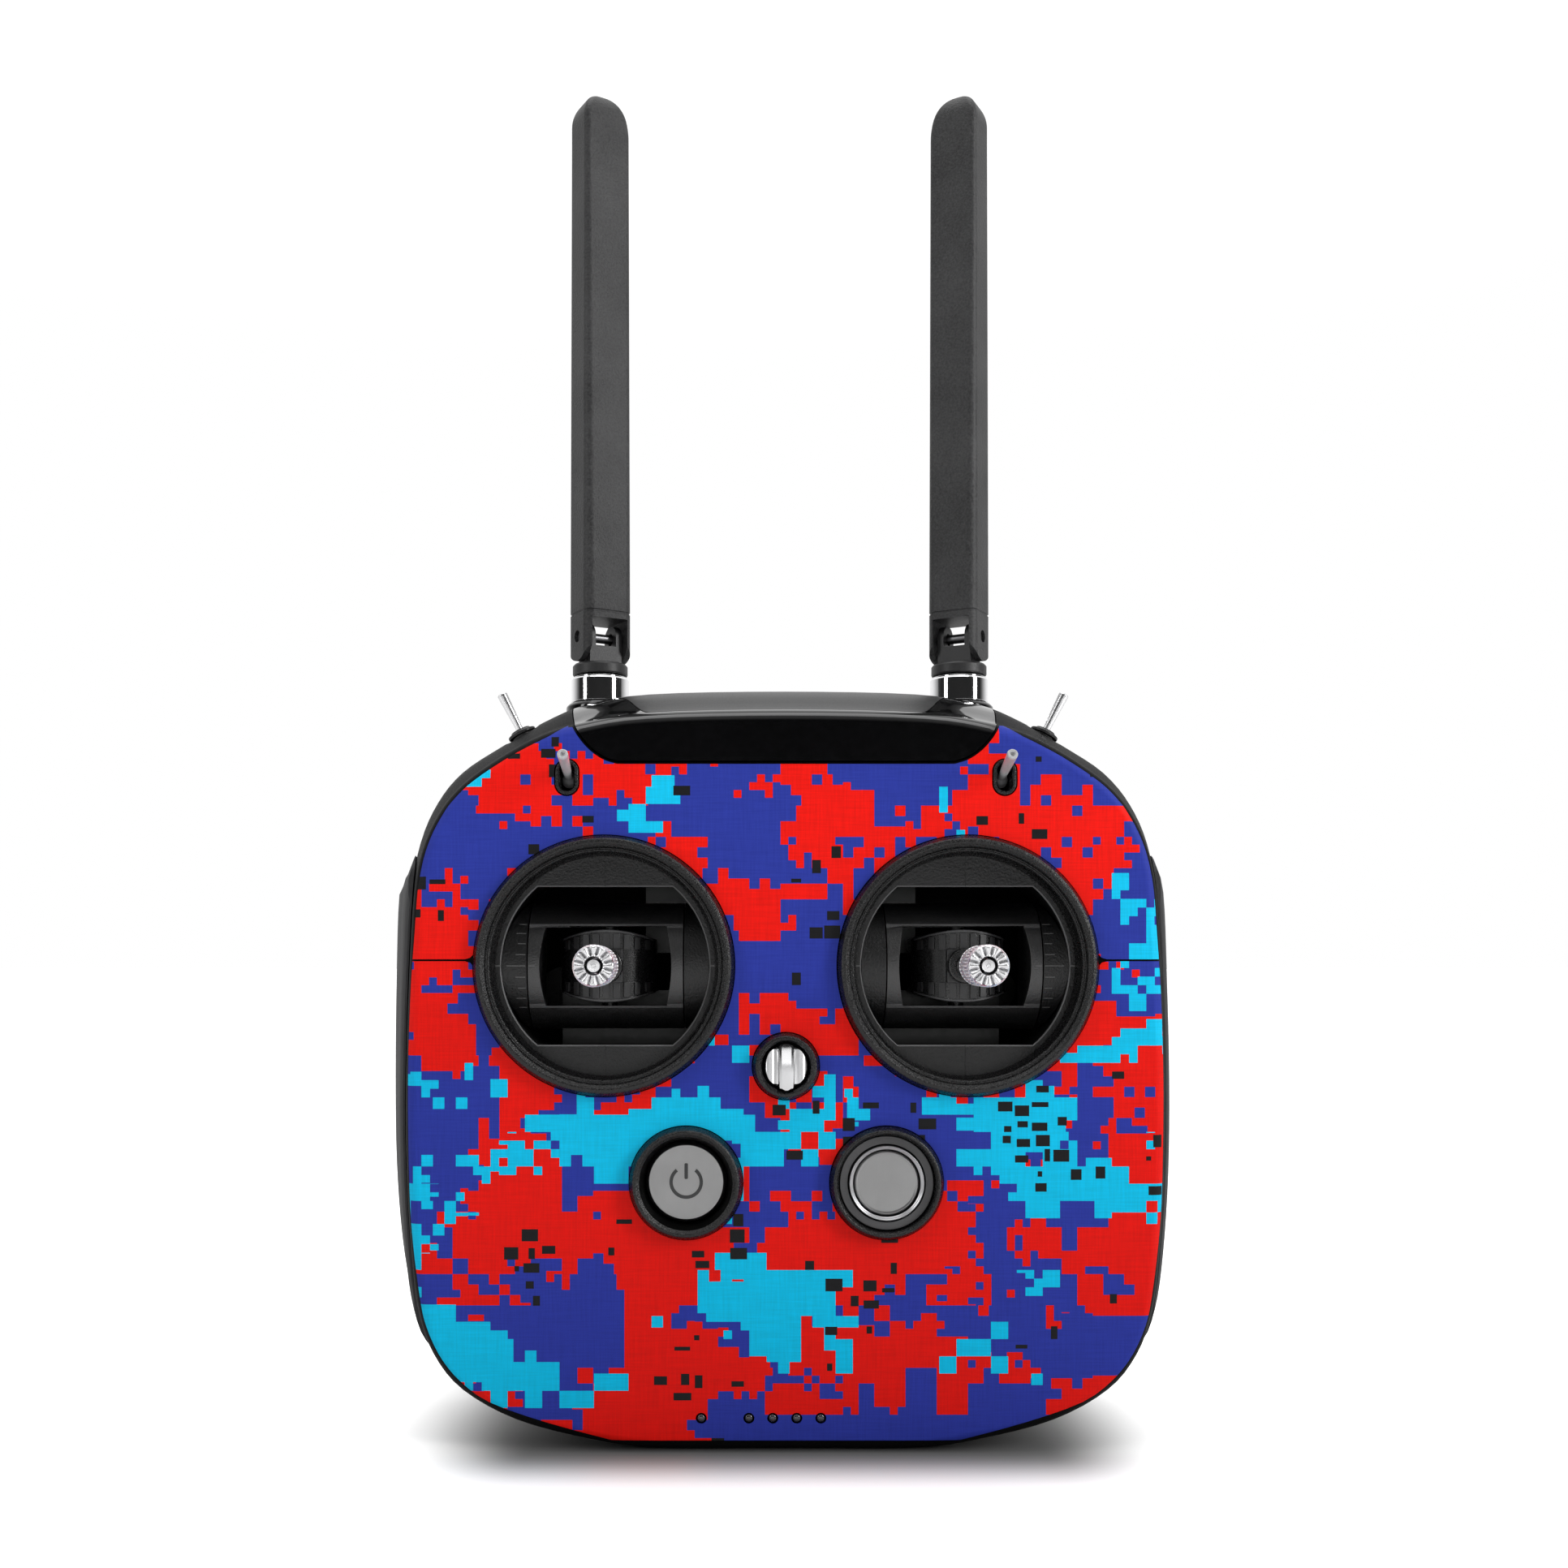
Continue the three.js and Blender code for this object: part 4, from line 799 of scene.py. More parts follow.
# ---------------------------------------------------------------- stick wells
for s, nm in ((-1, "left"), (1, "right")):
    x0 = s * GX
    Y = axis_y(x0, GZ)
    ring = rnd([(28.5, -30.95), (31.8, -30.95, 0.1), (31.7, -32.2, 0.8), (30.9, -33.7, 0.8), (29.9, -34.0, 0.6), (28.95, -33.2, 0.4), (28.5, -32.3, 0.3), (28.1, -32.5, 0.25), (27.75, -32.1, 0.25), (27.3, -30.6, 0.4), (27.0, -27.4), (28.5, -27.4)], True, 12)
    finish_piece(lathe(ring, Y, 160), nm + "_well_ring", "root", nm + "_gimbal_bezel", M_bezel, 40)

    # plate with its window, skirt and fixed side lobes
    plate = lathe(rnd([(0, -27.1), (28.3, -27.1, 0.2), (28.3, -2), (26.2, -2), (26.2, -24.8), (0, -24.8)]), Y, 128)
    half = math.asin(19.45 / 25.6)
    win = [(x0 + 25.6 * math.cos(lerp(-half, half, i / 24)), GZ + 25.6 * math.sin(lerp(-half, half, i / 24))) for i in range(25)]
    win += [(x0 + 25.6 * math.cos(lerp(PI - half, PI + half, i / 24)), GZ + 25.6 * math.sin(lerp(PI - half, PI + half, i / 24))) for i in range(25)]
    cut_ = [prism(win, [(-30, 0.32), (-27.1, 0.32), (-26.8, 0.0), (-20, 0)])]
    cut_ += [box(x0 - 0.12, x0 + 0.12, -28, -26.95, GZ + 19, GZ + 29), box(x0 - 0.12, x0 + 0.12, -28, -26.95, GZ - 29, GZ - 19)]
    boolean(plate, cut_)
    # painted highlight: the chamfer faces round the window take the light grey edge colour
    for p in plate.data.polygons:
        if -27.12 < p.center.y < -26.7 and -0.97 < p.normal.y < -0.2 and (p.center.x - x0) ** 2 + (p.center.z - GZ) ** 2 < 26.9 ** 2:
            p.material_index = 2
    lobe = lathe([(0, x0 - 27.3), (16, x0 - 27.3), (16, x0 + 27.3), (0, x0 + 27.3)], axis_x(-11, GZ), 120)
    boolean(lobe, [cyl(Y, 25.5, -28, -4, 128)], "INTERSECT")
    boolean(lobe, [box(x0 - 19.4, x0 + 19.4, -40, 20, GZ - 30, GZ + 30), cyl(axis_x(-11, GZ), 2.85, x0 - 24, x0 + 24, 32)])
    marks = []
    side = s  # graduated lobe lies on the outer side
    for k in range(-4, 5):
        a = rad(10 * k)
        ln = 4.6 if k == 0 else (2.4 if k % 2 else 1.9)
        xa = x0 + side * 19.7
        M = axis_x(-11, GZ) @ Matrix.Rotation(-PI / 2 + a, 4, "Z")
        M = Matrix.Translation((0, -11, GZ)) @ Matrix.Rotation(-a, 4, "X") @ Matrix.Translation((0, 11, -GZ))
        marks.append(box(min(xa, xa + side * ln), max(xa, xa + side * ln), -27.05, -26.8, GZ - 0.1, GZ + 0.1, M=M))
    marks.append(box(min(x0 + side * 25.7, x0 + side * 27), max(x0 + side * 25.7, x0 + side * 27), -27.16, -27.0, GZ - 0.14, GZ + 0.14))
    marks.append(box(min(x0 - side * 25.9, x0 - side * 26.9), max(x0 - side * 25.9, x0 - side * 26.9), -27.16, -27.0, GZ - 0.14, GZ + 0.14))
    tri = [(x0 + q, GZ + z) for q, z in ()]
    full = join([plate, lobe] + marks, [None, 0] + [1] * len(marks))
    finish_piece(full, nm + "_well_plate", "root", nm + "_gimbal_plate", [M_well, M_mark, M_edge_highlight], 30)

    # yoke: tilts up and down
    yoke = cyl(axis_x(-11, GZ), 16, x0 - 19.1, x0 + 19.1, 160)
    w = [(-15, -9.9), (15, -9.9)] + [(lerp(15, 16.25, math.cos(PI / 2 * t / 8)), 9.9 * t / 8) for t in range(-8, 9)][1:-1] + [(15, 9.9), (-15, 9.9)] + [(-lerp(15, 16.25, math.cos(PI / 2 * t / 8)), -9.9 * t / 8) for t in range(-8, 9)][1:-1]
    w = [(x0 + a, GZ + b) for a, b in w]
    boolean(yoke, [cyl(axis_x(-11, GZ), 14.2, x0 - 16.8, x0 + 16.8, 120), prism(w, [(-40, 0), (-11, 0)]), box(x0 - 30, x0 + 30, -6, 20, GZ - 30, GZ + 30)])
    bevel(yoke, 0.32, 2, 50)
    boolean(yoke, [cyl(axis_x(-11, GZ), 2.45, x0 - 22.6, x0 - 18, 32), cyl(axis_x(-11, GZ), 2.45, x0 + 18, x0 + 22.6, 32)], "UNION")
    # painted highlight: the chamfer faces along the top and bottom of the window take the light grey edge colour
    for p in yoke.data.polygons:
        if p.center.y < -21 and abs(p.center.x - x0) < 15.6 and 9.5 < abs(p.center.z - GZ) < 10.5 and -0.97 < p.normal.y < -0.15:
            p.material_index = 2
    ym = box(min(x0 + side * 17.3, x0 + side * 18.9), max(x0 + side * 17.3, x0 + side * 18.9), -27.06, -26.8, GZ - 0.12, GZ + 0.12)
    finish_piece(join([yoke, ym], [None, 1]), nm + "_yoke_shell", nm + "_yoke", nm + "_outer_yoke", [M_yoke, M_mark, M_edge_highlight], 30)

    # inner drum: swings side to side, ribbed, with a square foot for the stick
    rings = []
    N = 40
    for i in range(N + 1):
        dx = -11.9 + 23.8 * i / N
        yf = -11 - math.sqrt(12.6 ** 2 - dx * dx)
        zt = 9.05 - dx * dx * 0.0166
        rings.append([(x0 + dx, yf + 0.5, GZ - zt), (x0 + dx, yf, GZ - zt + 0.5), (x0 + dx, yf, GZ + zt - 0.5), (x0 + dx, yf + 0.5, GZ + zt), (x0 + dx, -5.2, GZ + zt), (x0 + dx, -5.2, GZ - zt)])
    drum = loft(rings)
    # painted highlight: the ribs take the lighter rib colour in place of the light on their edges
    ribs = []
    for k in range(-4, 5):
        dx = 2.5 * k
        a = math.asin(dx / 12.6)
        for sg in (-1, 1):
            zt = 9.05 - dx * dx * 0.0166
            M = Matrix.Translation((x0, -11, GZ)) @ Matrix.Rotation(a, 4, "Z")
            z0_, z1_ = sorted((sg * 4.1, sg * (zt - 0.9)))
            ribs.append(box(-0.85, 0.85, -12.95, -12.3, z0_, z1_, 0.12, 2, M))
    # painted highlight: a strip along the top and the bottom rim of the drum, in a lighter grey
    for sg in (-1, 1):
        pts = []
        for i in range(0, 33):
            dx = -11.4 + 22.8 * i / 32
            pts.append(dx)
        rr = [[(x0 + dx, -11 - math.sqrt(12.6 ** 2 - dx * dx) - q, GZ + sg * (9.05 - dx * dx * 0.0166 - u)) for q, u in ((0.22, 0.55), (0.22, 0.2), (-0.3, 0.0), (-0.3, 0.6))] for dx in pts]
        ribs.append(loft(rr))
    foot = box(x0 - 4.25, x0 + 4.25, -25.2, -20, GZ - 4.25, GZ + 4.25, 0.35, 3)
    round_ = lathe(rnd([(0, -24.8), (4.3, -24.8), (4.3, -28.2, 0.5), (2.6, -28.2, 0.2), (2.6, -26.5), (0, -26.5)]), Y, 64)
    pins = cyl(axis_z(x0, -11), 2.0, GZ - 15.6, GZ + 15.6, 32)
    finish_piece(join([drum, foot, round_, pins] + ribs, [0, 1, 0, 0] + [1] * (len(ribs) - 2) + [2, 2]), nm + "_stick_drum", nm + "_stick", nm + "_inner_drum", [M_drum, M_rib, M_rim_highlight], 30)

    # stick: threaded shaft, locknut and fluted tip
    th = lambda r, h, a: (r + (0.16 * (abs(((h / 0.7 - a / (2 * PI)) % 1) - 0.5) * 2 - 1) if -57 < h < -29 else 0), h)
    prof = [(0, -20.3), (2.15, -20.3), (2.2, -28.9)] + [(2.2, -29 - 0.117 * i) for i in range(164)] + [(2.2, -48.3), (1.65, -48.6), (1.65, -61.2), (1.4, -61.55), (0.55, -61.6), (0.3, -61.35), (0, -61.35)]
    finish_piece(lathe(prof, Y, 36, th), nm + "_stick_rod", nm + "_stick", nm + "_stick_shaft", M_alu, 45)

    def knurl(h0, h1, rows, teeth, skew):
        def f(r, h, a):
            if r < 4.45 or h > max(h0, h1) - 0.02 or h < min(h0, h1) + 0.02:
                return r, h
            u = (h - h0) / (h1 - h0) * rows
            v = u - math.floor(u)
            g = 0.28 * (1 - smooth(0.0, 0.16, v) * smooth(0.0, 0.16, 1 - v))
            t = abs(math.sin(teeth / 2 * a + skew * v))
            return r - g - 0.26 * (1 - t) ** 1.4, h
        return f

    rows_n = [(4.72, -49.0 - 0.24 * i) for i in range(25)]
    nutp = [(1.95, -48.6), (4.35, -48.6)] + rows_n + [(4.35, -55.2), (1.95, -55.2)]
    ln_ = lathe(nutp, Y, 180, knurl(-49.0, -54.76, 2, 36, 0.9))
    for p in ln_.data.polygons:
        if math.hypot(p.center.x - x0, p.center.z - GZ) > 4.3 and -54.9 < p.center.y < -48.9:
            p.material_index = 1
    finish_piece(ln_, nm + "_stick_nut", nm + "_stick", nm + "_stick_locknut", [M_alu, M_knurl], 50)

    def tipwarp(r, h, a, kn=knurl(-55.9, -61.2, 3, 36, -0.9)):
        if h <= -61.5 and 2.15 < r < 4.42:
            fl = abs(math.cos(6 * a)) ** 0.7
            edge = smooth(2.15, 2.6, r) * (1 - smooth(4.2, 4.42, r))
            return r, h + 0.95 * edge * (1 - fl)
        return kn(r, h, a)

    rows_t = [(4.8, -55.9 - 0.221 * i) for i in range(25)]
    tipp = [(1.95, -55.5), (4.45, -55.5)] + rows_t + [(4.62, -61.5), (4.4, -61.85)] + [(4.2 - 0.2 * i, -62.0 + 0.012 * i) for i in range(11)] + [(2.1, -61.7), (1.95, -61.0)]
    tp_ = lathe(tipp, Y, 240, tipwarp)
    for p in tp_.data.polygons:
        if math.hypot(p.center.x - x0, p.center.z - GZ) > 4.3 and -61.4 < p.center.y < -55.8:
            p.material_index = 1
    finish_piece(tp_, nm + "_stick_cap", nm + "_stick", nm + "_stick_tip", [M_alu, M_knurl], 50)

# ---------------------------------------------------------------- front controls
Ym = axis_y(0, MODE_Z)
finish_piece(lathe(rnd([(5.9, -30.9), (8.1, -30.9, 0.1), (8.05, -32.5, 0.6), (7.4, -33.8, 0.5), (6.6, -34.0, 0.4), (6.0, -33.2, 0.3), (5.9, -32)], True), Ym, 96), "mode_ring", "root", "mode_bezel", M_bezel, 40)
knob = lathe(rnd([(0, -33.0), (2.4, -32.95, 3), (4.75, -32.8, 0.25), (5.25, -32.4, 0.2), (5.25, -27.5), (3, -27.5), (3, -20), (0, -20)]), Ym, 96)
boolean(knob, [cyl(axis_z(3.7, -35.0), 2.6, MODE_Z - 8, MODE_Z + 8, 96), cyl(axis_z(-3.7, -35.0), 2.6, MODE_Z - 8, MODE_Z + 8, 96)])
# the finger ridge: crowned end to end, flanks falling away
rows = []
for i in range(25):
    u = -5.6 + 11.2 * i / 24
    hw_ = 1.9 * (1 - min(1, abs(u) / 5.62) ** 26) ** 0.5
    yt = -36.0 + 0.010 * u * u
    rows.append([(-hw_ * 1.05, -31.6, MODE_Z + u), (-hw_, -34.6, MODE_Z + u), (-hw_ * 0.88, yt + 0.5, MODE_Z + u), (-hw_ * 0.62, yt + 0.1, MODE_Z + u), (0, yt, MODE_Z + u),
                 (hw_ * 0.62, yt + 0.1, MODE_Z + u), (hw_ * 0.88, yt + 0.5, MODE_Z + u), (hw_, -34.6, MODE_Z + u), (hw_ * 1.05, -31.6, MODE_Z + u)])
bar = loft(rows)
finish_piece(join([knob, bar]), "mode_knob_metal", "mode_knob", "mode_knob", M_knob, 30)

Yp, Yh = axis_y(PX, BZ), axis_y(HX, BZ)
pr_ = lathe(rnd([(11.2, -30.9), (13.8, -30.9, 0.1), (13.75, -32.5, 0.9), (12.9, -34.1, 0.8), (12.2, -34.3, 0.6), (11.2, -33.4, 0.6), (10.4, -30.6, 0.6), (10.1, -27.6), (11.2, -27.6)], True), Yp, 128)
# painted shade: the inner recess faces of the power ring take the near-black shade colour
for p in pr_.data.polygons:
    if math.hypot(p.center.x - PX, p.center.z - BZ) < 11.6:
        p.material_index = 1
finish_piece(pr_, "power_ring", "root", "power_bezel", [M_bezel, M_recess_shade], 40)
pb = lathe(rnd([(0, -29.96), (5, -29.97), (8.6, -30.0, 0.5), (9.1, -30.06, 0.3), (9.75, -29.1, 0.5), (9.75, -26.8), (4, -26.8), (4, -22), (0, -22)]), Yp, 128)
# power symbol: broken ring and bar, set in
arc = []
R0, R1 = 4.1, 3.27
a0 = rad(38)
sym = [(PX + R0 * math.sin(lerp(a0, 2 * PI - a0, i / 48)), BZ + R0 * math.cos(lerp(a0, 2 * PI - a0, i / 48))) for i in range(49)]
sym += [(PX + R1 * math.sin(lerp(2 * PI - a0, a0, i / 48)), BZ + R1 * math.cos(lerp(2 * PI - a0, a0, i / 48))) for i in range(49)]
ring_ = prism(sym, [(-30.09, 0), (-29.6, 0)])
stem = prism(rnd([(PX - 0.43, BZ + 0.75, 0.3), (PX + 0.43, BZ + 0.75, 0.3), (PX + 0.43, BZ + 4.6, 0.3), (PX - 0.43, BZ + 4.6, 0.3)], True), [(-30.09, 0), (-29.6, 0)])
finish_piece(join([pb, ring_, stem], [0, 1, 1]), "power_button_cap", "power_button", "power_button", [M_brushed, M_symbol], 35)

finish_piece(lathe(rnd([(11.7, -30.9), (13.8, -30.9, 0.1), (13.75, -32.5, 0.8), (13.0, -33.9, 0.7), (12.4, -34.1, 0.4), (11.8, -33.2, 0.3), (11.7, -32)], True), Yh, 128), "home_ring_outer", "root", "home_bezel", M_bezel, 40)
finish_piece(lathe(rnd([(9.5, -30.9), (11.4, -30.9), (11.4, -31.6, 0.15), (9.5, -31.75, 0.15)], True), Yh, 128), "home_collar_ring", "root", "home_collar", M_collar, 40)
finish_piece(lathe(rnd([(8.2, -27.6), (9.15, -27.6), (9.15, -32.3, 0.12), (8.95, -32.5, 0.1), (8.62, -32.2, 0.2), (8.5, -32.25, 0.1), (8.2, -32.0, 0.1)], True), Yh, 128), "home_chrome_ring", "root", "home_ring", M_ring, 40)
finish_piece(lathe(rnd([(0, -31.35), (5, -31.5, 3), (7.0, -31.55, 0.4), (7.45, -31.75, 0.15), (7.9, -31.3, 0.2), (7.9, -27.6), (4, -27.6), (4, -22), (0, -22)]), Yh, 128), "home_button_cap", "home_button", "home_button", M_brushed, 35)

for x, n in zip(LED_X, ("status_led", "battery_led_1", "battery_led_2", "battery_led_3", "battery_led_4")):
    finish_piece(lathe([(0, -31.5), (0.35, -31.46), (0.7, -31.34), (0.92, -31.14), (1.0, -30.9), (1.0, -27), (0, -27)], axis_y(x, LED_Z), 32), n + "_lens", "root", n, M_led, 35)

LEVER = rnd([(0, -1.9), (1.5, -1.5, 0.6), (1.95, -0.3, 0.7), (1.6, 1.3, 0.6), (1.0, 2.4, 0.4), (1.32, 17.1, 0.1), (1.32, 17.5, 0.15), (1.1, 17.85, 0.1), (0.6, 17.8, 0.06), (0.5, 17.3), (0, 17.2)])
for s, nm in ((-1, "left"), (1, "right")):
    slot_o, slot_i = obround(s * TX, TZ, 5.7, 8.7), obround(s * TX, TZ, 3.5, 6.5)
    rim = prism(slot_o, [(-31.7, -0.35), (-31.6, -0.12), (-31.4, 0), (-27.1, 0)])
    boolean(rim, [prism(slot_i, [(-33, 0.3), (-31.65, 0.3), (-31.35, 0.05), (-31.2, 0), (-26, 0)])])
    finish_piece(rim, nm + "_toggle_collar", "root", nm + "_front_toggle_slot", M_bezel, 40)
    d = (0, -math.cos(rad(14)), math.sin(rad(14)))
    finish_piece(lathe(LEVER, axis_dir((s * TX, -24.6, TZ), d), 48), nm + "_front_lever", nm + "_front_toggle", nm + "_front_toggle", M_tlever, 35)
    Ms = axis_dir((s * SHOULDER[0], SHOULDER[1], SHOULDER[2]), shoulder_dir(s))
    hexa = [(4.6 / math.cos(rad(30)) * 0.96 * math.cos(rad(60 * i)), 4.6 * 0.96 / math.cos(rad(30)) * math.sin(rad(60 * i))) for i in range(6)]
    nut = lathe(rnd([(2.0, -4.5), (2.8, -4.5), (2.8, 0.2, 0.1), (3.7, 0.3, 0.1), (3.7, 1.0, 0.3), (2.7, 1.3, 0.2), (2.5, 1.7, 0.2), (2.0, 1.7)], True), Ms, 60)
    finish_piece(nut, nm + "_shoulder_nut", "root", nm + "_shoulder_toggle_nut", M_control, 40)
    finish_piece(lathe(rnd([(0, -1.6), (0.95, -1.4, 0.3), (0.95, 3), (1.28, 11.2, 0.3), (1.3, 11.8, 0.2), (1.0, 12.1, 0.15), (0, 12.1)]), Ms, 48), nm + "_shoulder_lever", nm + "_shoulder_toggle", nm + "_shoulder_toggle", M_lever, 35)

    # shoulder and back controls
    teeth = lambda r, h, a: (r - (0.42 * (0.5 - 0.5 * math.cos(44 * a)) ** 2 if r > 10.2 else 0), h)
    dial = lathe(rnd([(1.6, DIAL[1] - 3.6), (9.6, DIAL[1] - 3.6, 0.3), (10.6, DIAL[1] - 2.9, 0.3), (10.6, DIAL[1] + 2.9, 0.3), (9.6, DIAL[1] + 3.6, 0.3), (1.6, DIAL[1] + 3.6)], True), axis_y(s * DIAL[0], DIAL[2]), 352, teeth)
    finish_piece(dial, nm + "_dial_wheel", nm + "_dial", nm + "_dial", M_control, 40)
    rbx = lathe(rnd([(0, 24.6), (6.3, 24.6, 0.2), (6.3, 26.4, 0.2), (4.95, 26.4), (4.95, 36.8, 0.5), (4.3, 37.3, 0.5), (0, 37.1)]), axis_y(s * 60, 112), 64)
    finish_piece(rbx, nm + "_rear_cap", nm + "_rear_button", nm + "_rear_button", M_control, 40)
rec_ = lathe(rnd([(0, -5), (5.0, -5), (5.0, 1.6, 0.5), (4.4, 2.2, 0.4), (2.6, 1.95, 0.5), (0, 1.7)]), shoulder_at(-1), 72)
finish_piece(rec_, "record_cap", "record_button", "record_button", M_chrome, 40)
sh_ = lathe(rnd([(0, -5), (5.0, -5), (5.0, 1.0, 0.4), (4.4, 1.4, 0.4), (2.6, 1.1, 0.5), (0, 0.9)]), shoulder_at(1), 72)
finish_piece(sh_, "shutter_cap", "shutter_button", "shutter_button", M_control, 40)

# port panel with a flat data socket and a round-cornered charge socket
panel = box(-24, 24, 26.4, 30.2, 50, 66, 0.5, 3)
boolean(panel, [box(-23, 23, 15, 27.2, 51, 65)], "UNION")
boolean(panel, [box(-18, -5, 20, 34, 54.6, 61, 0.5, 2), box(4, 14, 20, 34, 54.2, 61.8, 1.2, 3)])
tongue = box(-16, -7, 20, 28.2, 57.2, 58.0, 0.1, 1)
contacts = [box(5.6 + 2.1 * i, 6.6 + 2.1 * i, 20, 28, 57.3, 58.7, 0.1, 1) for i in range(4)]
finish_piece(join([panel, tongue] + contacts, [0, 0] + [1] * 4), "port_panel_face", "root", "port_panel", [M_control, M_pin], 35)

# ---------------------------------------------------------------- antennas
for s, nm in ((-1, "left"), (1, "right")):
    Z = axis_z(s * AX, AY)
    finish_piece(lathe(rnd([(4, 189.7), (7.6, 189.7, 0.1), (7.8, 190.0, 0.1), (7.8, 195.9, 0.15), (7.45, 196.3, 0.1), (7.45, 196.6, 0.1), (7.0, 197.0, 0.15), (4, 197.0)], True), Z, 128), nm + "_antenna_collar_nut", "root", nm + "_antenna_nut", M_chrome, 40)
    T = Matrix.Translation((s * AX, AY, 0)) @ Matrix.Rotation(rad(-s * 30), 4, "Z")
    collar = lathe(rnd([(0, 190.2), (3.6, 190.2), (3.6, 197.3), (7.3, 197.3, 0.15), (7.45, 197.6, 0.1), (7.45, 199.7, 0.3), (6.9, 200.3, 0.3), (0, 200.3)]), Z, 96)
    stem = box(-4.7, 4.7, -3.6, 3.6, 199.8, FOLD_Z, 0, M=T)
    top = cyl(T @ axis_x(0, FOLD_Z), 3.6, -4.7, 4.7, 64)
    fork = boolean(stem, [top], "UNION")
    boolean(fork, [box(-3.0, 3.0, -8, 8, 205.0, 216, M=T), cyl(T @ axis_x(0, FOLD_Z), 1.65, -9, 9, 32)])
    bevel(fork, 0.25, 2, 50)
    finish_piece(join([collar, fork]), nm + "_antenna_hinge", nm + "_antenna_base", nm + "_antenna_fork", M_fork, 35)
    finish_piece(lathe(rnd([(0, -6.2), (1.25, -6.2, 0.2), (1.25, 6.2, 0.2), (0, 6.2)]), T @ axis_x(0, FOLD_Z), 32), nm + "_antenna_axle", nm + "_antenna_base", nm + "_antenna_pin", M_pin, 40)

    def sec(hw, ht, cx, r=3.2, n=10):
        r = min(r, hw - 0.05, ht - 0.05)
        out = []
        for qx, qy, b0 in ((1, 1, 0), (-1, 1, 90), (-1, -1, 180), (1, -1, 270)):
            for i in range(n + 1):
                a = rad(b0 + 90 * i / n)
                out.append((cx + qx * (hw - r) + r * math.cos(a), qy * (ht - r) + r * math.sin(a)))
        return out

    rings = []
    for z in [200.6 + 1.5 * i for i in range(9)]:
        rings.append((z, sec(6.9, 6.2, 0, 2.5)))
    rings += [(213.55, sec(6.9, 6.2, 0, 2.5)), (213.75, sec(6.72, 6.02, 0, 2.5)), (214.05, sec(6.72, 6.02, 0, 2.5)), (214.25, sec(6.9, 6.2, 0, 2.5))]
    for i in range(12):
        z = 215 + i * (342 - 215) / 11
        t = (z - 215) / 125
        rings.append((z, sec(6.9 - 0.3 * t, 6.2 - 1.0 * t, 0, 2.5 - 1.0 * t)))
    TOP = 354.0
    for i in range(1, 19):
        z = 342.6 + (TOP - 342.6) * math.sin(PI / 2 * i / 18)
        q = lambda h: 1 - math.sqrt(max(0.0, 1 - max(0.0, (z - (TOP - h)) / h) ** 2))
        inner, outer_, t = 7.0 * q(11.4), 5.7 * q(7.4), 4.4 * q(6.4)
        hw = max(0.35, (13.2 - inner - outer_) / 2)
        rings.append((z, sec(hw, 5.2 - t, (-s) * (outer_ - inner) / 2, 1.5)))
    pad = loft([[tuple(T @ Vector((x, y, z))) for x, y in ring] for z, ring in rings])
    keep_ = cyl(T @ axis_x(0, FOLD_Z), 6.6, -8, 8, 96)
    boolean(keep_, [box(-8, 8, -6.6, 6.6, FOLD_Z, 360, M=T)], "UNION")
    boolean(pad, [keep_], "INTERSECT")
    boolean(pad, [box(-5.2, 5.2, -8, 8, 195, 212.1, M=T), cyl(T @ axis_x(0, FOLD_Z), 1.65, -12, 12, 32)])
    lid = [lathe(rnd([(0, s2 * 6.1), (1.3, s2 * 6.1), (1.3, s2 * 6.5, 0.1), (0, s2 * 6.5)]), T @ axis_x(0, FOLD_Z), 32) for s2 in ()]
    finish_piece(join([pad] + lid), nm + "_antenna_blade", nm + "_antenna", nm + "_antenna_paddle", M_antenna, 35)

drop(body, body_forward, cavity)

# ---------------------------------------------------------------- inside, kept from the CAD
for n, m in (("battery", M_battery), ("main_board", M_board), ("radio_board", M_board)):
    ob = nodes[n]
    if not ob.material_slots:
        ob.data.materials.append(m)
    for sl in ob.material_slots:
        sl.material = m

# ---------------------------------------------------------------- floor and light
def floor_sweep():
    me = bpy.data.meshes.new("floor")
    me.from_pydata([(-60, -60, -0.0001), (60, -60, -0.0001), (60, 60, -0.0001), (-60, 60, -0.0001)], [], [(0, 1, 2, 3)])
    ob = bpy.data.objects.new("floor", me)
    scene.collection.objects.link(ob)
    k = Mat("floor_white_painted_shadow")
    n = k.noise(k.co, 3.0, 2.0, 0.5)
    # a lit sweep: it glows away from the object, and close to it the white card is darkened to 0.10 as a painted
    # contact shadow
    px, py, _ = k.split(k.co)
    dx = k.math("MAXIMUM", k.math("SUBTRACT", k.math("ABSOLUTE", px), 0.062), 0.0)
    dy = k.math("MAXIMUM", k.math("SUBTRACT", k.math("ABSOLUTE", py), 0.030), 0.0)
    d = k.math("SQRT", k.math("ADD", k.math("MULTIPLY", dx, dx), k.math("MULTIPLY", dy, dy)))
    painted_contact_shadow = k.range(d, 0.0, 0.028, 0.03, 1.0, True)
    k.set(Base_Color=k.mix(painted_contact_shadow, (0.10, 0.10, 0.10, 1), k.mix(n, (0.80, 0.80, 0.80, 1), (0.82, 0.82, 0.82, 1))), Roughness=0.42, Specular_IOR_Level=0.2, Emission_Color=(1, 1, 1, 1))
    lp_ = k.t.nodes.new("ShaderNodeLightPath")
    k.put(k.b.inputs["Emission Strength"], k.math("MULTIPLY", k.range(d, 0.006, 0.056, 0.0, 0.72, True), lp_.outputs["Is Camera Ray"]))
    me.materials.append(k.m)


floor_sweep()


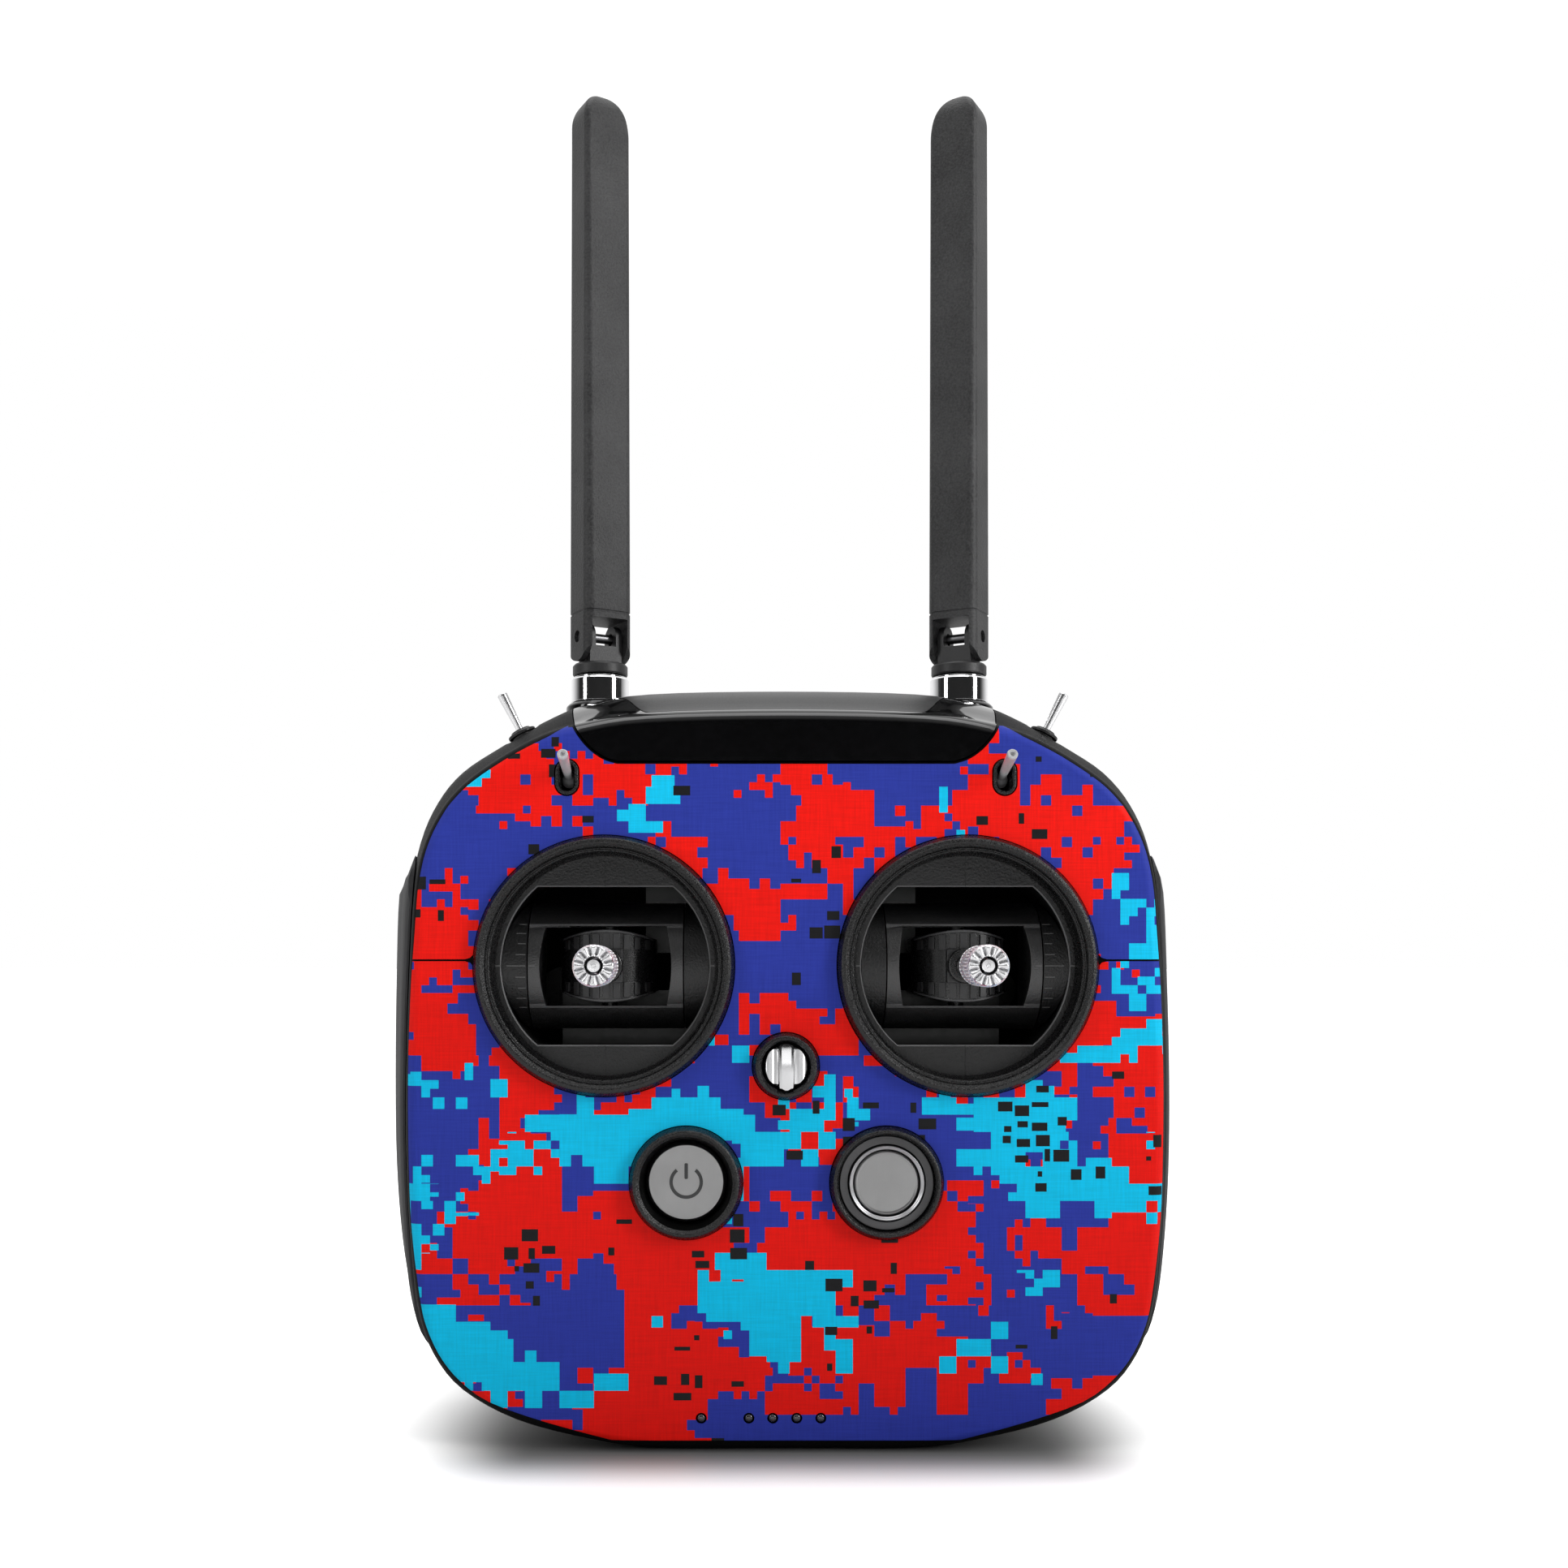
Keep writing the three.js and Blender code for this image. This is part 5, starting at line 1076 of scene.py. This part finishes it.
def lamp(name, loc, target, size, power, size_y=None):
    d = bpy.data.lights.new(name, "AREA")
    d.shape = "RECTANGLE"
    d.size = size
    d.size_y = size_y or size
    d.energy = power
    o = bpy.data.objects.new(name, d)
    o.location = loc
    o.rotation_euler = (Vector(target) - Vector(loc)).to_track_quat("-Z", "Y").to_euler()
    scene.collection.objects.link(o)
    return o


lamp("key_left", (-1.10, -0.62, 0.62), (0, 0, 0.12), 0.28, 3.9, 0.7)
lamp("key_right", (1.10, -0.62, 0.62), (0, 0, 0.12), 0.28, 11.5, 0.7)
lamp("front", (0.12, -1.35, 0.16), (0, 0, 0.12), 1.0, 1.1, 0.22)
lamp("low", (-0.34, -0.80, 0.03), (-0.02, 0, 0.10), 0.22, 0.22, 0.05)
lamp("top", (0, -0.15, 1.4), (0, 0, 0.1), 1.0, 7, 0.7)

world = bpy.data.worlds.new("studio")
scene.world = world
world.use_nodes = True
wt = world.node_tree
bg = wt.nodes["Background"]
tcw = wt.nodes.new("ShaderNodeTexCoord")
sp = wt.nodes.new("ShaderNodeSeparateXYZ")
wt.links.new(tcw.outputs["Generated"], sp.inputs[0])
mr = wt.nodes.new("ShaderNodeMapRange")
mr.interpolation_type = "SMOOTHSTEP"
for i, v in ((1, -0.15), (2, 0.85), (3, 0.02), (4, 1.0)):
    mr.inputs[i].default_value = v
wt.links.new(sp.outputs[1], mr.inputs[0])
lp = wt.nodes.new("ShaderNodeLightPath")
mx = wt.nodes.new("ShaderNodeMath")
mx.operation = "MAXIMUM"
up = wt.nodes.new("ShaderNodeMapRange")
up.interpolation_type = "SMOOTHSTEP"
for i, v in ((1, 0.35), (2, 0.90), (3, 0.0), (4, 0.7)):
    up.inputs[i].default_value = v
wt.links.new(sp.outputs[2], up.inputs[0])
su = wt.nodes.new("ShaderNodeMath")
su.operation = "ADD"
wt.links.new(mr.outputs[0], su.inputs[0])
wt.links.new(up.outputs[0], su.inputs[1])
wt.links.new(su.outputs[0], mx.inputs[0])
wt.links.new(lp.outputs["Is Camera Ray"], mx.inputs[1])
wt.links.new(mx.outputs[0], bg.inputs["Strength"])
bg.inputs["Color"].default_value = (1, 1, 1, 1)
